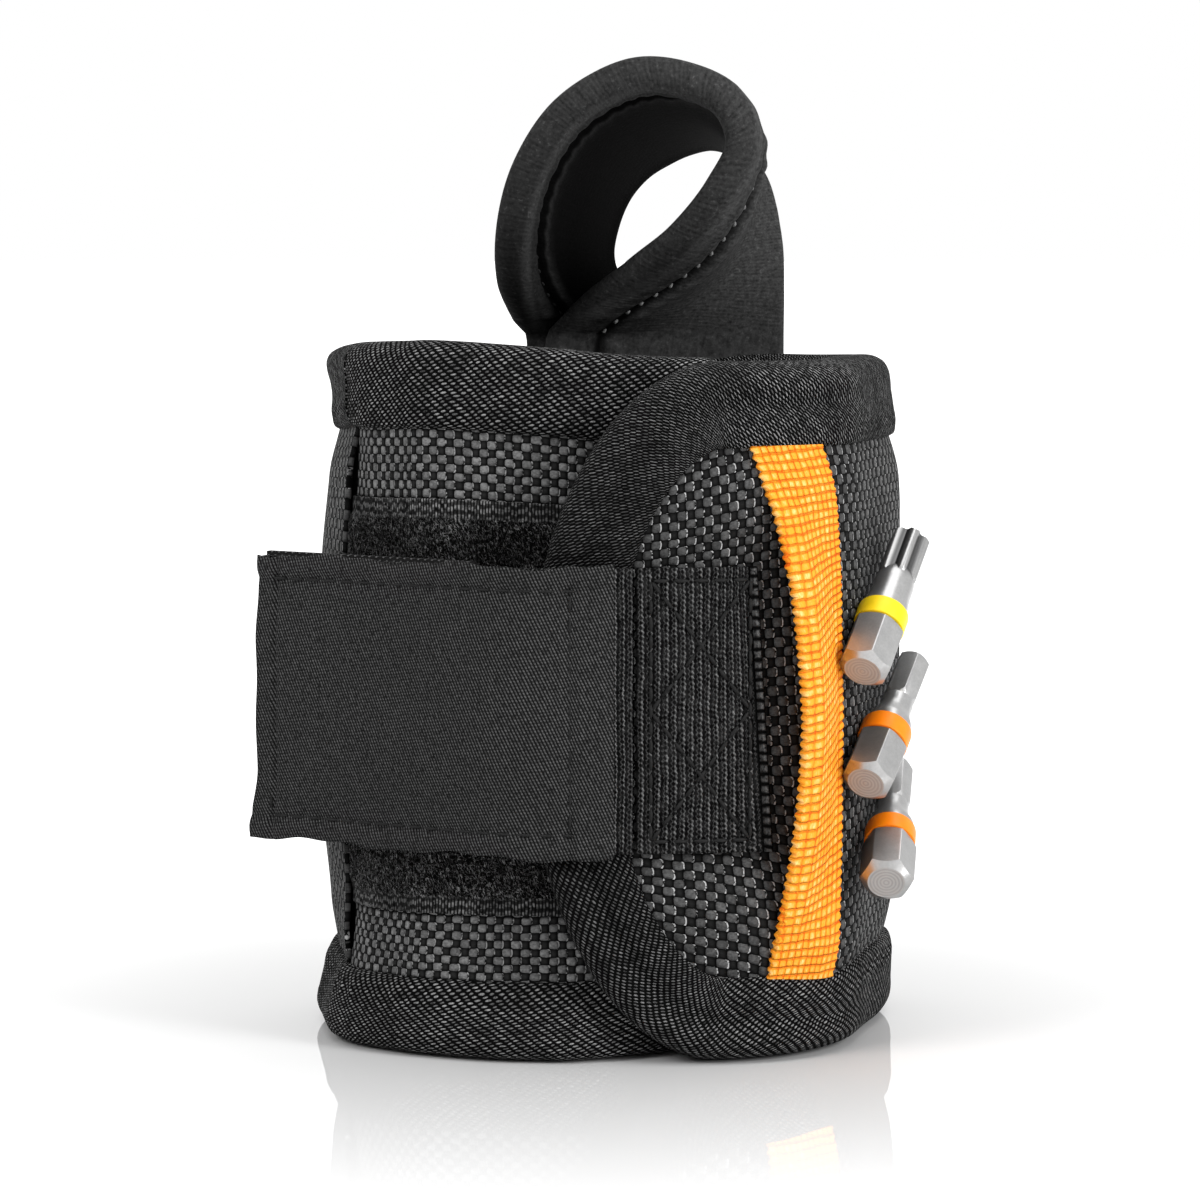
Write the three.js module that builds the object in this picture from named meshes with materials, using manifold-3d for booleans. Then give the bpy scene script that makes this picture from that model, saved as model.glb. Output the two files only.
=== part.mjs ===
// Magnetic wristband, closed into a ring and standing on its edge.
// Millimetres, +Z up, the closure faces -Y, the origin lies under the middle of the box.

import * as THREE from 'three';
import { mergeVertices } from 'three/addons/utils/BufferGeometryUtils.js';
import Module from 'manifold-3d';

const wasm = await Module();
wasm.setup();

// Driving dimensions of the ring
const ringWidth = 81;
const ringDepth = 64;
const bandHeight = 91;
const routeStep = 3.4;

// Layers of the band, from the outer face inwards
const coverThick = 0.7;
const foamThick = 3.0;
const liningThick = 0.7;
const seatGap = 0.3;
const weldGap = 0.0001;

// Binding round the whole edge
const bindingWidth = 11;
const bindingThick = 0.8;
const bindingRoll = 1.7;
const bindingRound = 1.6;

// Tongue: the round outer end, and the inner end below it
const tongueReach = 11.4;
const tongueRoundLength = 26;
const tipHeightShare = 0.1;
const roundDegrees = [18, 36, 50, 61, 70, 77];
const innerReach = 21;
const layerPlay = 0.5;
const openingHingeReach = 83;
const rampStart = 33;
const rampEnd = 84;

// Magnets
const magnetRadius = 5;
const magnetThick = 1.5;
const magnetSink = 0.5;
const magnetRowPitch = 23;
const magnetColumnPitch = 17;
const firstMagnetReach = 36;
const tongueColumns = 3;
const backColumns = 2;
const hingeColumnMargin = 9;
const magnetRows = 3;

// Loop panel on the inner end
const loopPanelHeight = 52;
const loopPanelThick = 1.0;
const loopPanelReach = 46;
const loopPanelMargin = 2;

// Closure strap
const strapHeight = 37;
const strapThick = 1.2;
const strapRise = 0.7;
const strapRootStart = 3.2;
const strapRootLength = 16.5;
const strapContact = 34;
const strapFreeEnd = 20;
const strapFoldGap = 0.3;
const hookThick = 1.0;
const hookLength = 22;
const hookMargin = 1;
const labelThick = 0.8;
const labelExtra = 0.6;

// Ribbon
const ribbonWidth = 10;
const ribbonThick = 1.0;
const ribbonBow = 4.8;
const ribbonReach = 24.6;
const ribbonSteps = 12;
const ribbonBowPower = 1.2;

// Thumb loop
const loopStripThick = 2.2;
const loopHemRadius = 2.6;
const loopWidth = 38;
const loopHeight = 37.6;
const loopDepth = 31;
const loopSteps = 32;
const loopRootX = 7.6;
const loopRootGap = 0.85;
const loopAxisRise = 2.5;
const loopRootShare = 0.92;
const loopPinchShare = 0.35;
const loopPinchLengthShare = 0.11;

// Screwdriver bits
const hexAcrossFlats = 6.35;
const bitTopReach = 43;
const bitTopHeight = 58.5;
const bitTopTilt = 43;
const bitMiddleReach = 44;
const bitMiddleHeight = 42;
const bitMiddleTilt = 35;
const bitBottomReach = 50;
const bitBottomHeight = 27.4;
const bitBottomTilt = 33;
const bitLength = 25;
const hexLength = 8;
const sleeveLength = 3;
const sleeveRadius = 3.45;
const sleeveWall = 0.75;
const hexChamfer = 0.9;
const collarLength = 1.8;
const tipLength = 8.5;
const starTipRadius = 2.75;
const starValleyShare = 0.8;
const starLobes = 6;
const hexTipAcross = 4;
const neckRadius = 2.2;
const roundSides = 28;
const magnetSides = 16;

const colours = {
  nylon: 0x1b1b1d,
  knit: 0x141416,
  foam: 0x3a3a3c,
  fuzz: 0x19191b,
  elastic: 0x1e1e20,
  patch: 0x222225,
  ribbon: 0xff9a20,
  jersey: 0x121214,
  steel: 0xa8a6a3,
  magnet: 0xb9bcc0,
  yellow: 0xf2d21c,
  orange: 0xf08a1e,
};

function material(colour, roughness, metalness) {
  return new THREE.MeshStandardMaterial({ color: colour, roughness, metalness });
}

const group = new THREE.Group();

function addMesh(parent, name, geometry, look) {
  const mesh = new THREE.Mesh(geometry, look);
  mesh.name = name;
  parent.add(mesh);
  return mesh;
}

// Joins and cuts of closed meshes

function toSolid(geometry) {
  const bare = geometry.clone();
  bare.deleteAttribute('normal');
  bare.deleteAttribute('uv');
  const merged = mergeVertices(bare, weldGap);
  return new wasm.Manifold(new wasm.Mesh({
    numProp: 3,
    vertProperties: new Float32Array(merged.attributes.position.array),
    triVerts: new Uint32Array(merged.index.array),
  }));
}

function toGeometry(solid) {
  const mesh = solid.getMesh();
  const geometry = new THREE.BufferGeometry();
  geometry.setAttribute('position', new THREE.BufferAttribute(mesh.vertProperties, 3));
  geometry.setIndex(new THREE.BufferAttribute(mesh.triVerts, 1));
  geometry.computeVertexNormals();
  return geometry;
}

// A closed skin over rings of points: rings[i][j] is a Vector3, every ring has the same count.
// The section gives the ring's outline in the plane, to fill the two ends.
function skinRings(rings, section) {
  if (THREE.ShapeUtils.isClockWise(section)) {
    return skinRings(rings.map((ring) => [...ring].reverse()), [...section].reverse());
  }
  const count = section.length;
  const positions = rings.flat().flatMap((p) => [p.x, p.y, p.z]);
  const triangles = [];
  for (let i = 0; i < rings.length - 1; i += 1) {
    for (let j = 0; j < count; j += 1) {
      const k = (j + 1) % count;
      const a = i * count + j;
      const b = i * count + k;
      const c = (i + 1) * count + k;
      const d = (i + 1) * count + j;
      triangles.push([a, b, c], [a, c, d]);
    }
  }
  const last = (rings.length - 1) * count;
  THREE.ShapeUtils.triangulateShape(section, []).forEach(([a, b, c]) => {
    triangles.push([a, c, b], [a + last, b + last, c + last]);
  });
  return orient(positions, triangles);
}

function orient(positions, triangles) {
  const at = (n) => new THREE.Vector3(positions[3 * n], positions[3 * n + 1], positions[3 * n + 2]);
  let volume = 0;
  triangles.forEach(([a, b, c]) => { volume += at(a).dot(at(b).cross(at(c))); });
  if (volume < 0) triangles.forEach((t) => t.reverse());
  const geometry = new THREE.BufferGeometry();
  geometry.setAttribute('position', new THREE.Float32BufferAttribute(positions, 3));
  geometry.setIndex(triangles.flat());
  geometry.computeVertexNormals();
  return geometry;
}

// Plan of the ring, as shares of half its width and half its depth, from the front
// centre round by the left, the back and the right.
const planShares = [
  [0.0, -1.0], [-0.25, -0.985], [-0.5, -0.945], [-0.77, -0.84], [-0.945, -0.6], [-1.0, -0.24],
  [-0.985, 0.16], [-0.865, 0.54], [-0.6, 0.83], [-0.2, 0.99], [0.25, 0.985], [0.6, 0.88],
  [0.84, 0.67], [0.95, 0.36], [0.93, 0.02], [0.855, -0.3], [0.74, -0.62], [0.54, -0.87],
  [0.27, -0.98],
];

function planCurve() {
  const points = planShares.map(([x, y]) => (
    new THREE.Vector3((x * ringWidth) / 2, (y * ringDepth) / 2, 0)));
  return new THREE.CatmullRomCurve3(points, true, 'centripetal');
}

const envelope = planCurve();
const envelopeLength = envelope.getLength();

function envelopeAt(reach) {
  const share = ((reach / envelopeLength) % 1 + 1) % 1;
  const point = envelope.getPointAt(share);
  const along = envelope.getTangentAt(share);
  return { point, outward: new THREE.Vector3(along.y, -along.x, 0).normalize() };
}

// The envelope is walked clockwise seen from above, so the outward side is on the right.
const outwardSign = Math.sign(envelopeAt(0).outward.y) === -1 ? 1 : -1;

// The inner end lies one layer further in, and comes out to the ring on the left side.
const bandThick = coverThick + foamThick + liningThick + 2 * seatGap;
const lipTop = seatGap + bindingThick;
const layerPitch = bandThick + 2 * lipTop + layerPlay;
function insetAt(reach) {
  const share = THREE.MathUtils.clamp((reach - rampStart) / (rampEnd - rampStart), 0, 1);
  return layerPitch * (1 - THREE.MathUtils.smoothstep(share, 0, 1));
}

// A route is a polyline in plan with an outward side at each corner. Everything that is
// wound on it bends at the same corners, so the layers stay parallel.
class Route {
  constructor(start, step, points) {
    this.start = start;
    this.step = step;
    this.points = points;
    this.sides = points.map((p, i) => {
      const before = points[Math.max(i - 1, 0)];
      const after = points[Math.min(i + 1, points.length - 1)];
      const along = new THREE.Vector3().subVectors(after, before).normalize();
      return new THREE.Vector3(along.y, -along.x, 0).multiplyScalar(outwardSign);
    });
  }

  at(reach, out, height) {
    const place = THREE.MathUtils.clamp((reach - this.start) / this.step, 0, this.points.length - 1);
    const i = Math.min(Math.floor(place), this.points.length - 2);
    const point = new THREE.Vector3().lerpVectors(this.points[i], this.points[i + 1], place - i);
    const side = new THREE.Vector3().lerpVectors(this.sides[i], this.sides[i + 1], place - i);
    return point.addScaledVector(side, out).setZ(height);
  }

  sideAt(reach) {
    return this.at(reach, 1, 0).sub(this.at(reach, 0, 0)).normalize();
  }

  stations(from, to, extra = []) {
    const corners = this.points.map((_, i) => this.start + i * this.step);
    const inside = corners.filter((r) => r > from && r < to);
    const all = [from, to, ...inside, ...extra.filter((r) => r > from && r < to)];
    all.sort((a, b) => a - b);
    return all.filter((r, i) => i === 0 || r - all[i - 1] > seatGap);
  }

  wrap(stations, sectionAt) {
    const rings = stations.map((r) => sectionAt(r).map(([out, height]) => this.at(r, out, height)));
    const section = sectionAt(stations[0]).map(([out, height]) => new THREE.Vector2(out, height));
    return skinRings(rings, section);
  }
}

function bandRoute() {
  const start = -innerReach;
  const end = envelopeLength + tongueReach;
  const count = Math.round((end - start) / routeStep);
  const step = (end - start) / count;
  const points = Array.from({ length: count + 1 }, (_, i) => {
    const reach = start + i * step;
    const { point, outward } = envelopeAt(reach);
    return point.addScaledVector(outward, -outwardSign * insetAt(reach));
  });
  return new Route(start, step, points);
}

const band = bandRoute();
const bandStart = -innerReach;
const bandEnd = envelopeLength + tongueReach;
const roundStart = bandEnd - tongueRoundLength;
const hingeReach = envelopeLength - openingHingeReach;
const midHeight = bandHeight / 2;

// Depths below the cover's outer face
const coverIn = -coverThick;
const foamOut = coverIn - seatGap;
const foamIn = foamOut - foamThick;
const liningOut = foamIn - seatGap;
const liningIn = liningOut - liningThick;
const lipIn = liningIn - lipTop;

const coreInset = bindingRoll + seatGap;

// Half the height of the tongue's outline at a reach, drawn in by an inset
function halfHeightAt(reach, inset) {
  const full = midHeight - inset;
  if (reach <= roundStart) return full;
  const share = Math.min((reach - roundStart) / (tongueRoundLength - inset), 1);
  return full * Math.max(Math.sqrt(1 - share * share), tipHeightShare);
}

function tongueStations(inset) {
  const length = tongueRoundLength - inset;
  const last = roundStart + length * Math.sqrt(1 - tipHeightShare * tipHeightShare);
  const extra = roundDegrees.map((a) => roundStart + length * Math.sin(THREE.MathUtils.degToRad(a)));
  return band.stations(hingeReach + seatGap / 2, last, [roundStart, ...extra]);
}

function rectangle(outLow, outHigh, low, high) {
  return [[outLow, low], [outHigh, low], [outHigh, high], [outLow, high]];
}

function eased(outLow, outHigh, low, high, cut) {
  return [
    [outLow + cut, low], [outHigh - cut, low], [outHigh, low + cut], [outHigh, high - cut],
    [outHigh - cut, high], [outLow + cut, high], [outLow, high - cut], [outLow, low + cut],
  ];
}

function tongueSlab(inset, outLow, outHigh) {
  return band.wrap(tongueStations(inset), (r) => {
    const half = halfHeightAt(r, inset);
    return rectangle(outLow, outHigh, midHeight - half, midHeight + half);
  });
}

function backSlab(outLow, outHigh) {
  const stations = band.stations(bandStart + coreInset, hingeReach - seatGap / 2);
  return band.wrap(stations, () => rectangle(outLow, outHigh, coreInset, bandHeight - coreInset));
}

// Magnets and the pockets they lie in

const magnetDepth = foamOut - magnetSink - magnetThick / 2;
const tongueMagnetReaches = Array.from({ length: tongueColumns }, (_, i) => (
  envelopeLength - firstMagnetReach - i * magnetColumnPitch));
const backMagnetReaches = Array.from({ length: backColumns }, (_, i) => (
  hingeReach - hingeColumnMargin - i * magnetColumnPitch));
const magnetHeights = Array.from({ length: magnetRows }, (_, i) => (
  midHeight + (i - (magnetRows - 1) / 2) * magnetRowPitch));

function discOn(reach, height, radius, outLow, outHigh, sides) {
  const disc = new THREE.CylinderGeometry(radius, radius, outHigh - outLow, sides);
  const side = band.sideAt(reach);
  disc.applyQuaternion(new THREE.Quaternion().setFromUnitVectors(new THREE.Vector3(0, 1, 0), side));
  const centre = band.at(reach, 0, height).addScaledVector(side, (outLow + outHigh) / 2);
  disc.translate(centre.x, centre.y, centre.z);
  return disc;
}

function foamWithPockets(slab, reaches) {
  let foam = toSolid(slab);
  reaches.forEach((reach) => magnetHeights.forEach((height) => {
    const low = magnetDepth - magnetThick / 2 - seatGap;
    foam = foam.subtract(toSolid(discOn(reach, height, magnetRadius + seatGap, low, foamThick, magnetSides)));
  }));
  return toGeometry(foam);
}

// Binding: a rolled tape that holds all layers at the edge

function bindingSection(high) {
  const flip = (z) => (high ? bandHeight - z : z);
  const cut = bindingRound;
  const wallOut = lipTop - bindingThick;
  const wallIn = lipIn + bindingThick;
  return [
    [lipIn + cut, flip(0)], [lipTop - cut, flip(0)], [lipTop, flip(cut)],
    [lipTop, flip(bindingWidth)], [wallOut, flip(bindingWidth)], [wallOut, flip(bindingRoll)],
    [wallIn, flip(bindingRoll)], [wallIn, flip(bindingWidth)], [lipIn, flip(bindingWidth)],
    [lipIn, flip(cut)],
  ];
}

const sideBindingStart = bandStart + bindingWidth + seatGap;

function backBinding(high) {
  const stations = band.stations(sideBindingStart, hingeReach - seatGap / 2);
  return band.wrap(stations, () => bindingSection(high));
}

function endBinding() {
  const outer = band.wrap(
    band.stations(bandStart, bandStart + bindingWidth),
    () => eased(lipIn, lipTop, 0, bandHeight, bindingRound),
  );
  const inner = band.wrap(
    band.stations(bandStart + bindingRoll, bandStart + 2 * bindingWidth),
    () => rectangle(liningIn - seatGap, seatGap, bindingRoll, bandHeight - bindingRoll),
  );
  return toGeometry(toSolid(outer).subtract(toSolid(inner)));
}

function tongueBinding() {
  const outer = band.wrap(tongueStations(0), (r) => {
    const half = halfHeightAt(r, 0);
    return eased(lipIn, lipTop, midHeight - half, midHeight + half, bindingRound);
  });
  const core = tongueSlabFrom(bindingRoll, liningIn - seatGap, seatGap);
  const window = tongueSlabFrom(bindingWidth, lipIn - bindingThick, lipTop + bindingThick);
  return toGeometry(toSolid(outer).subtract(toSolid(core)).subtract(toSolid(window)));
}

// A tongue slab that starts before the hinge, to cut clear through the near end
function tongueSlabFrom(inset, outLow, outHigh) {
  const stations = tongueStations(inset);
  stations[0] = hingeReach - routeStep / 2;
  return band.wrap(stations, (r) => {
    const half = halfHeightAt(r, inset);
    return rectangle(outLow, outHigh, midHeight - half, midHeight + half);
  });
}

// Looks
const looks = {
  nylon: material(colours.nylon, 0.75, 0),
  knit: material(colours.knit, 0.9, 0),
  foam: material(colours.foam, 0.95, 0),
  fuzz: material(colours.fuzz, 1, 0),
  elastic: material(colours.elastic, 0.85, 0),
  patch: material(colours.patch, 0.7, 0),
  ribbon: material(colours.ribbon, 0.65, 0),
  jersey: material(colours.jersey, 0.9, 0),
  steel: material(colours.steel, 0.35, 1),
  magnet: material(colours.magnet, 0.3, 1),
  yellow: material(colours.yellow, 0.45, 0),
  orange: material(colours.orange, 0.45, 0),
};

// Back part: the inner end, the left side and the back
addMesh(group, 'cover_back', backSlab(coverIn, 0), looks.nylon);
addMesh(group, 'foam_back', foamWithPockets(backSlab(foamIn, foamOut), backMagnetReaches), looks.foam);
addMesh(group, 'lining_back', backSlab(liningIn, liningOut), looks.knit);
addMesh(group, 'binding_back_top', backBinding(true), looks.knit);
addMesh(group, 'binding_back_bottom', backBinding(false), looks.knit);
addMesh(group, 'binding_inner_end', endBinding(), looks.knit);

// Tongue part: the right side and the round outer end
addMesh(group, 'cover_tongue', tongueSlab(coreInset, coverIn, 0), looks.nylon);
addMesh(group, 'foam_tongue',
  foamWithPockets(tongueSlab(coreInset, foamIn, foamOut), tongueMagnetReaches), looks.foam);
addMesh(group, 'lining_tongue', tongueSlab(coreInset, liningIn, liningOut), looks.knit);
addMesh(group, 'binding_tongue', tongueBinding(), looks.knit);

// Magnets, numbered from the tongue round to the back and from the bottom up
[...tongueMagnetReaches, ...backMagnetReaches].forEach((reach, column) => {
  magnetHeights.forEach((height, row) => {
    const low = magnetDepth - magnetThick / 2;
    const disc = discOn(reach, height, magnetRadius, low, low + magnetThick, magnetSides);
    addMesh(group, `magnet_${column + 1}_${row + 1}`, disc, looks.magnet);
  });
});

// Loop panel
const loopPanelStart = sideBindingStart + loopPanelMargin;
addMesh(group, 'loop_panel', band.wrap(
  band.stations(loopPanelStart, loopPanelReach),
  () => rectangle(seatGap, seatGap + loopPanelThick,
    midHeight - loopPanelHeight / 2, midHeight + loopPanelHeight / 2),
), looks.fuzz);

// Closure strap: a root sewn on the tongue and a tab that peels off the loop panel
const strapLow = midHeight + strapRise - strapHeight / 2;
const strapHigh = strapLow + strapHeight;
const strapRootOut = seatGap + strapThick;
const strapRootEnd = envelopeLength - strapRootStart;

addMesh(group, 'strap_root', band.wrap(
  band.stations(strapRootEnd - strapRootLength, strapRootEnd),
  () => rectangle(seatGap, strapRootOut, strapLow, strapHigh),
), looks.elastic);

const hookStack = seatGap + hookThick;
const tabOut = lipTop + seatGap;

// The tab leaves the tongue and comes down on the loop panel. Its route is the back face
// of the elastic, so its own outward side is the same as the band's.
function strapRoute() {
  const contactOut = seatGap + loopPanelThick + seatGap + hookStack;
  const contact = band.at(strapContact, contactOut, 0);
  const tipOver = band.at(bandEnd, tabOut, 0);
  const run = new THREE.Vector3().subVectors(contact, tipOver).normalize();
  const points = [
    band.at(strapRootEnd + strapFoldGap, tabOut, 0),
    band.at((strapRootEnd + bandEnd) / 2, tabOut, 0),
    tipOver.clone().addScaledVector(run, strapThick),
    contact,
    contact.clone().addScaledVector(run, strapFreeEnd),
  ];
  const curve = new THREE.CatmullRomCurve3(points, false, 'centripetal');
  const length = curve.getLength();
  const count = Math.round(length / routeStep);
  const places = Array.from({ length: count + 1 }, (_, i) => curve.getPointAt(i / count));
  return { route: new Route(0, length / count, places), length };
}

const strap = strapRoute();

addMesh(group, 'strap_elastic', strap.route.wrap(
  strap.route.stations(0, strap.length),
  () => rectangle(0, strapThick, strapLow, strapHigh),
), looks.elastic);
addMesh(group, 'strap_hook_tape', strap.route.wrap(
  strap.route.stations(strap.length - hookMargin - hookLength, strap.length - hookMargin),
  () => rectangle(-hookStack, -seatGap, strapLow + hookMargin, strapHigh - hookMargin),
), looks.fuzz);
addMesh(group, 'strap_patch', strap.route.wrap(
  strap.route.stations(0, strap.length),
  () => rectangle(strapThick + seatGap, strapThick + seatGap + labelThick,
    strapLow - labelExtra, strapHigh + labelExtra),
), looks.patch);

// Ribbon: sewn in at both bindings and bowed off the band between them
const ribbonMid = envelopeLength - ribbonReach;

function ribbonGeometry() {
  const low = bindingWidth + seatGap;
  const high = bandHeight - bindingWidth - seatGap;
  const reaches = band.stations(ribbonMid - ribbonWidth / 2, ribbonMid + ribbonWidth / 2);
  const outline = (out) => [
    ...reaches.map((reach) => [reach, out]),
    ...[...reaches].reverse().map((reach) => [reach, out + ribbonThick]),
  ];
  const rings = Array.from({ length: ribbonSteps + 1 }, (_, i) => {
    const share = i / ribbonSteps;
    const out = seatGap + ribbonBow * Math.sin(Math.PI * share) ** ribbonBowPower;
    const height = low + share * (high - low);
    return outline(out).map(([reach, v]) => band.at(reach, v, height));
  });
  return skinRings(rings, outline(0).map(([x, y]) => new THREE.Vector2(x, y)));
}

addMesh(group, 'ribbon', ribbonGeometry(), looks.ribbon);

// Thumb loop: a strip that rises from the back's top edge, turns over and comes back.
// Edges of the strip as shares of its width (right), depth (back) and height (up).
const nearEdgeShares = [
  [-0.391, -0.054, 0], [-0.248, -0.196, 0.153], [-0.086, -0.364, 0.277], [0.067, -0.541, 0.41],
  [0.193, -0.66, 0.585], [0.261, -0.725, 0.761], [0.202, -0.754, 0.907], [0.05, -0.76, 0.984],
  [-0.095, -0.76, 0.999], [-0.24, -0.744, 0.944], [-0.378, -0.718, 0.834], [-0.495, -0.664, 0.636],
  [-0.547, -0.58, 0.429], [-0.55, -0.38, 0.225], [-0.499, -0.086, 0.078], [-0.437, 0.053, 0],
];
const farEdgeShares = [
  [0.422, -0.041, 0], [0.423, 0.014, 0.204], [0.414, 0.088, 0.373], [0.386, 0.153, 0.513],
  [0.341, 0.201, 0.631], [0.27, 0.23, 0.708], [0.183, 0.246, 0.738], [0.1, 0.249, 0.723],
  [0.016, 0.249, 0.685], [-0.067, 0.246, 0.631], [-0.139, 0.23, 0.543], [-0.185, 0.214, 0.425],
  [-0.2, 0.191, 0.303], [-0.151, 0.172, 0.204], [-0.008, 0.12, 0.094], [0.293, 0.053, 0],
];

const loopRootDepth = band.at(envelopeLength / 2, liningIn / 2, 0).y * loopRootShare;

const loopBase = bandHeight + loopRootGap;

function loopEdge(shares) {
  const points = shares.map(([x, y, z]) => new THREE.Vector3(
    loopRootX + x * loopWidth,
    loopRootDepth + y * loopDepth,
    loopBase + z * loopHeight,
  ));
  return new THREE.CatmullRomCurve3(points, false, 'centripetal');
}

function loopSection(width, pinch) {
  const hem = loopHemRadius * pinch;
  const flat = (loopStripThick / 2) * pinch;
  const around = [40, 85, 130, 180, 230, 275, 320].map((a) => THREE.MathUtils.degToRad(a));
  return [
    ...around.map((a) => [hem * Math.cos(a), hem * Math.sin(a)]),
    [2 * hem, -flat], [width - flat, -flat], [width, 0], [width - flat, flat], [2 * hem, flat],
  ];
}

function thumbLoop() {
  const near = loopEdge(nearEdgeShares);
  const far = loopEdge(farEdgeShares);
  const middle = (t) => near.getPoint(t).lerp(far.getPoint(t), 1 / 2);
  const rings = [];
  for (let i = 0; i <= loopSteps; i += 1) {
    const t = i / loopSteps;
    const before = middle(Math.max(t - 1 / loopSteps, 0));
    const along = middle(Math.min(t + 1 / loopSteps, 1)).sub(before).normalize();
    const start = near.getPoint(t);
    const across = far.getPoint(t).sub(start);
    const width = across.length();
    across.normalize();
    const normal = new THREE.Vector3().crossVectors(along, across).normalize();
    const grown = THREE.MathUtils.smoothstep(Math.min(t, 1 - t), 0, loopPinchLengthShare);
    const pinch = THREE.MathUtils.lerp(loopPinchShare, 1, grown);
    const ring = loopSection(width, pinch).map(([w, n]) => (
      start.clone().addScaledVector(across, w).addScaledVector(normal, n)));
    // Both ends are cut level, just over the binding that they are sewn in
    if (i === 0 || i === loopSteps) ring.forEach((p) => p.setZ(loopBase));
    rings.push(ring);
  }
  const section = loopSection(loopWidth, 1).map(([w, n]) => new THREE.Vector2(w, n));
  return skinRings(rings, section);
}

addMesh(group, 'thumb_loop', thumbLoop(), looks.jersey);

// Screwdriver bits, each turned about +Y from its hex end, held against the cover

function hexPrism(acrossFlats, from, to) {
  const radius = acrossFlats / Math.sqrt(3);
  const prism = new THREE.CylinderGeometry(radius, radius, to - from, 6);
  prism.translate(0, (from + to) / 2, 0);
  return toSolid(prism);
}

function turned(profile) {
  const points = profile.map(([r, y]) => new THREE.Vector2(r, y));
  return toSolid(new THREE.LatheGeometry(points, roundSides));
}

const hexRadius = hexAcrossFlats / Math.sqrt(3);
const sleeveCore = sleeveRadius - sleeveWall;
const hexEndRadius = hexRadius - hexChamfer;
const sleeveEnd = hexLength + sleeveLength;
const collarEnd = sleeveEnd + collarLength;
const tipStart = bitLength - tipLength;

function starPrism(from, to) {
  const count = starLobes * 8;
  const shape = new THREE.Shape();
  for (let i = 0; i < count; i += 1) {
    const angle = (i / count) * 2 * Math.PI;
    const wave = (1 + Math.cos(starLobes * angle)) / 2;
    const radius = starTipRadius * THREE.MathUtils.lerp(starValleyShare, 1, wave);
    if (i === 0) shape.moveTo(radius, 0);
    else shape.lineTo(radius * Math.cos(angle), radius * Math.sin(angle));
  }
  const prism = new THREE.ExtrudeGeometry(shape, { depth: to - from, bevelEnabled: false });
  prism.rotateX(-Math.PI / 2);
  prism.translate(0, from, 0);
  return toSolid(prism);
}

function bitShank() {
  const blank = turned([
    [0, 0], [hexEndRadius, 0], [hexRadius, hexChamfer], [hexRadius, hexLength - hexChamfer / 2],
    [hexRadius - hexChamfer / 2, hexLength], [0, hexLength],
  ]);
  const hex = hexPrism(hexAcrossFlats, -hexChamfer, bitLength).intersect(blank);
  const coreRadius = sleeveCore - seatGap / 2;
  const core = turned([
    [0, hexLength - hexChamfer], [coreRadius, hexLength - hexChamfer], [coreRadius, sleeveEnd],
    [hexAcrossFlats / 2, sleeveEnd], [hexAcrossFlats / 2, collarEnd],
    [neckRadius, tipStart], [neckRadius, tipStart + collarLength], [0, tipStart + collarLength],
  ]);
  return hex.add(core);
}

function bitTip(kind) {
  const chamfer = hexChamfer / 2;
  const radius = kind === 'star' ? starTipRadius : hexTipAcross / Math.sqrt(3);
  const blank = turned([
    [0, tipStart - collarLength], [neckRadius, tipStart - collarLength], [radius, tipStart],
    [radius, bitLength - chamfer], [radius - chamfer, bitLength], [0, bitLength],
  ]);
  const prism = kind === 'star'
    ? starPrism(tipStart - collarLength, bitLength + chamfer)
    : hexPrism(hexTipAcross, tipStart - collarLength, bitLength + chamfer);
  return prism.intersect(blank);
}

function sleeve() {
  const low = hexLength + seatGap / 2;
  const high = sleeveEnd - seatGap / 2;
  const cut = sleeveWall / 4;
  const points = [
    [sleeveCore, low], [sleeveRadius - cut, low], [sleeveRadius, low + cut],
    [sleeveRadius, high - cut], [sleeveRadius - cut, high], [sleeveCore, high], [sleeveCore, low],
  ].map(([r, y]) => new THREE.Vector2(r, y));
  return toGeometry(toSolid(new THREE.LatheGeometry(points, roundSides)));
}

const bits = [
  {
    name: 'bit_top', kind: 'star', sleeve: 'yellow',
    reach: bitTopReach, height: bitTopHeight, tilt: bitTopTilt,
  },
  {
    name: 'bit_middle', kind: 'hex', sleeve: 'orange',
    reach: bitMiddleReach, height: bitMiddleHeight, tilt: bitMiddleTilt,
  },
  {
    name: 'bit_bottom', kind: 'hex', sleeve: 'orange',
    reach: bitBottomReach, height: bitBottomHeight, tilt: bitBottomTilt,
  },
];

bits.forEach((bit) => {
  const reach = envelopeLength - bit.reach;
  const side = band.sideAt(reach);
  const back = new THREE.Vector3(-side.y, side.x, 0);
  const tilt = THREE.MathUtils.degToRad(bit.tilt);
  const axis = back.multiplyScalar(Math.cos(tilt)).setZ(Math.sin(tilt));
  const third = new THREE.Vector3().crossVectors(side, axis);
  const holder = new THREE.Group();
  holder.setRotationFromMatrix(new THREE.Matrix4().makeBasis(side, axis, third));
  const centre = band.at(reach, 0, bit.height).addScaledVector(side, sleeveRadius + seatGap);
  holder.position.copy(centre.addScaledVector(axis, -bitLength / 2));
  addMesh(holder, bit.name, toGeometry(bitShank().add(bitTip(bit.kind))), looks.steel);
  addMesh(holder, `${bit.name}_sleeve`, sleeve(), looks[bit.sleeve]);
  group.add(holder);
  bit.side = side;
});

// The origin lies on the floor, under the middle of the whole box.
group.updateMatrixWorld(true);
const box = new THREE.Box3().setFromObject(group, true);
const middle = box.getCenter(new THREE.Vector3());
group.position.set(-middle.x, -middle.y, -box.min.z);

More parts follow.
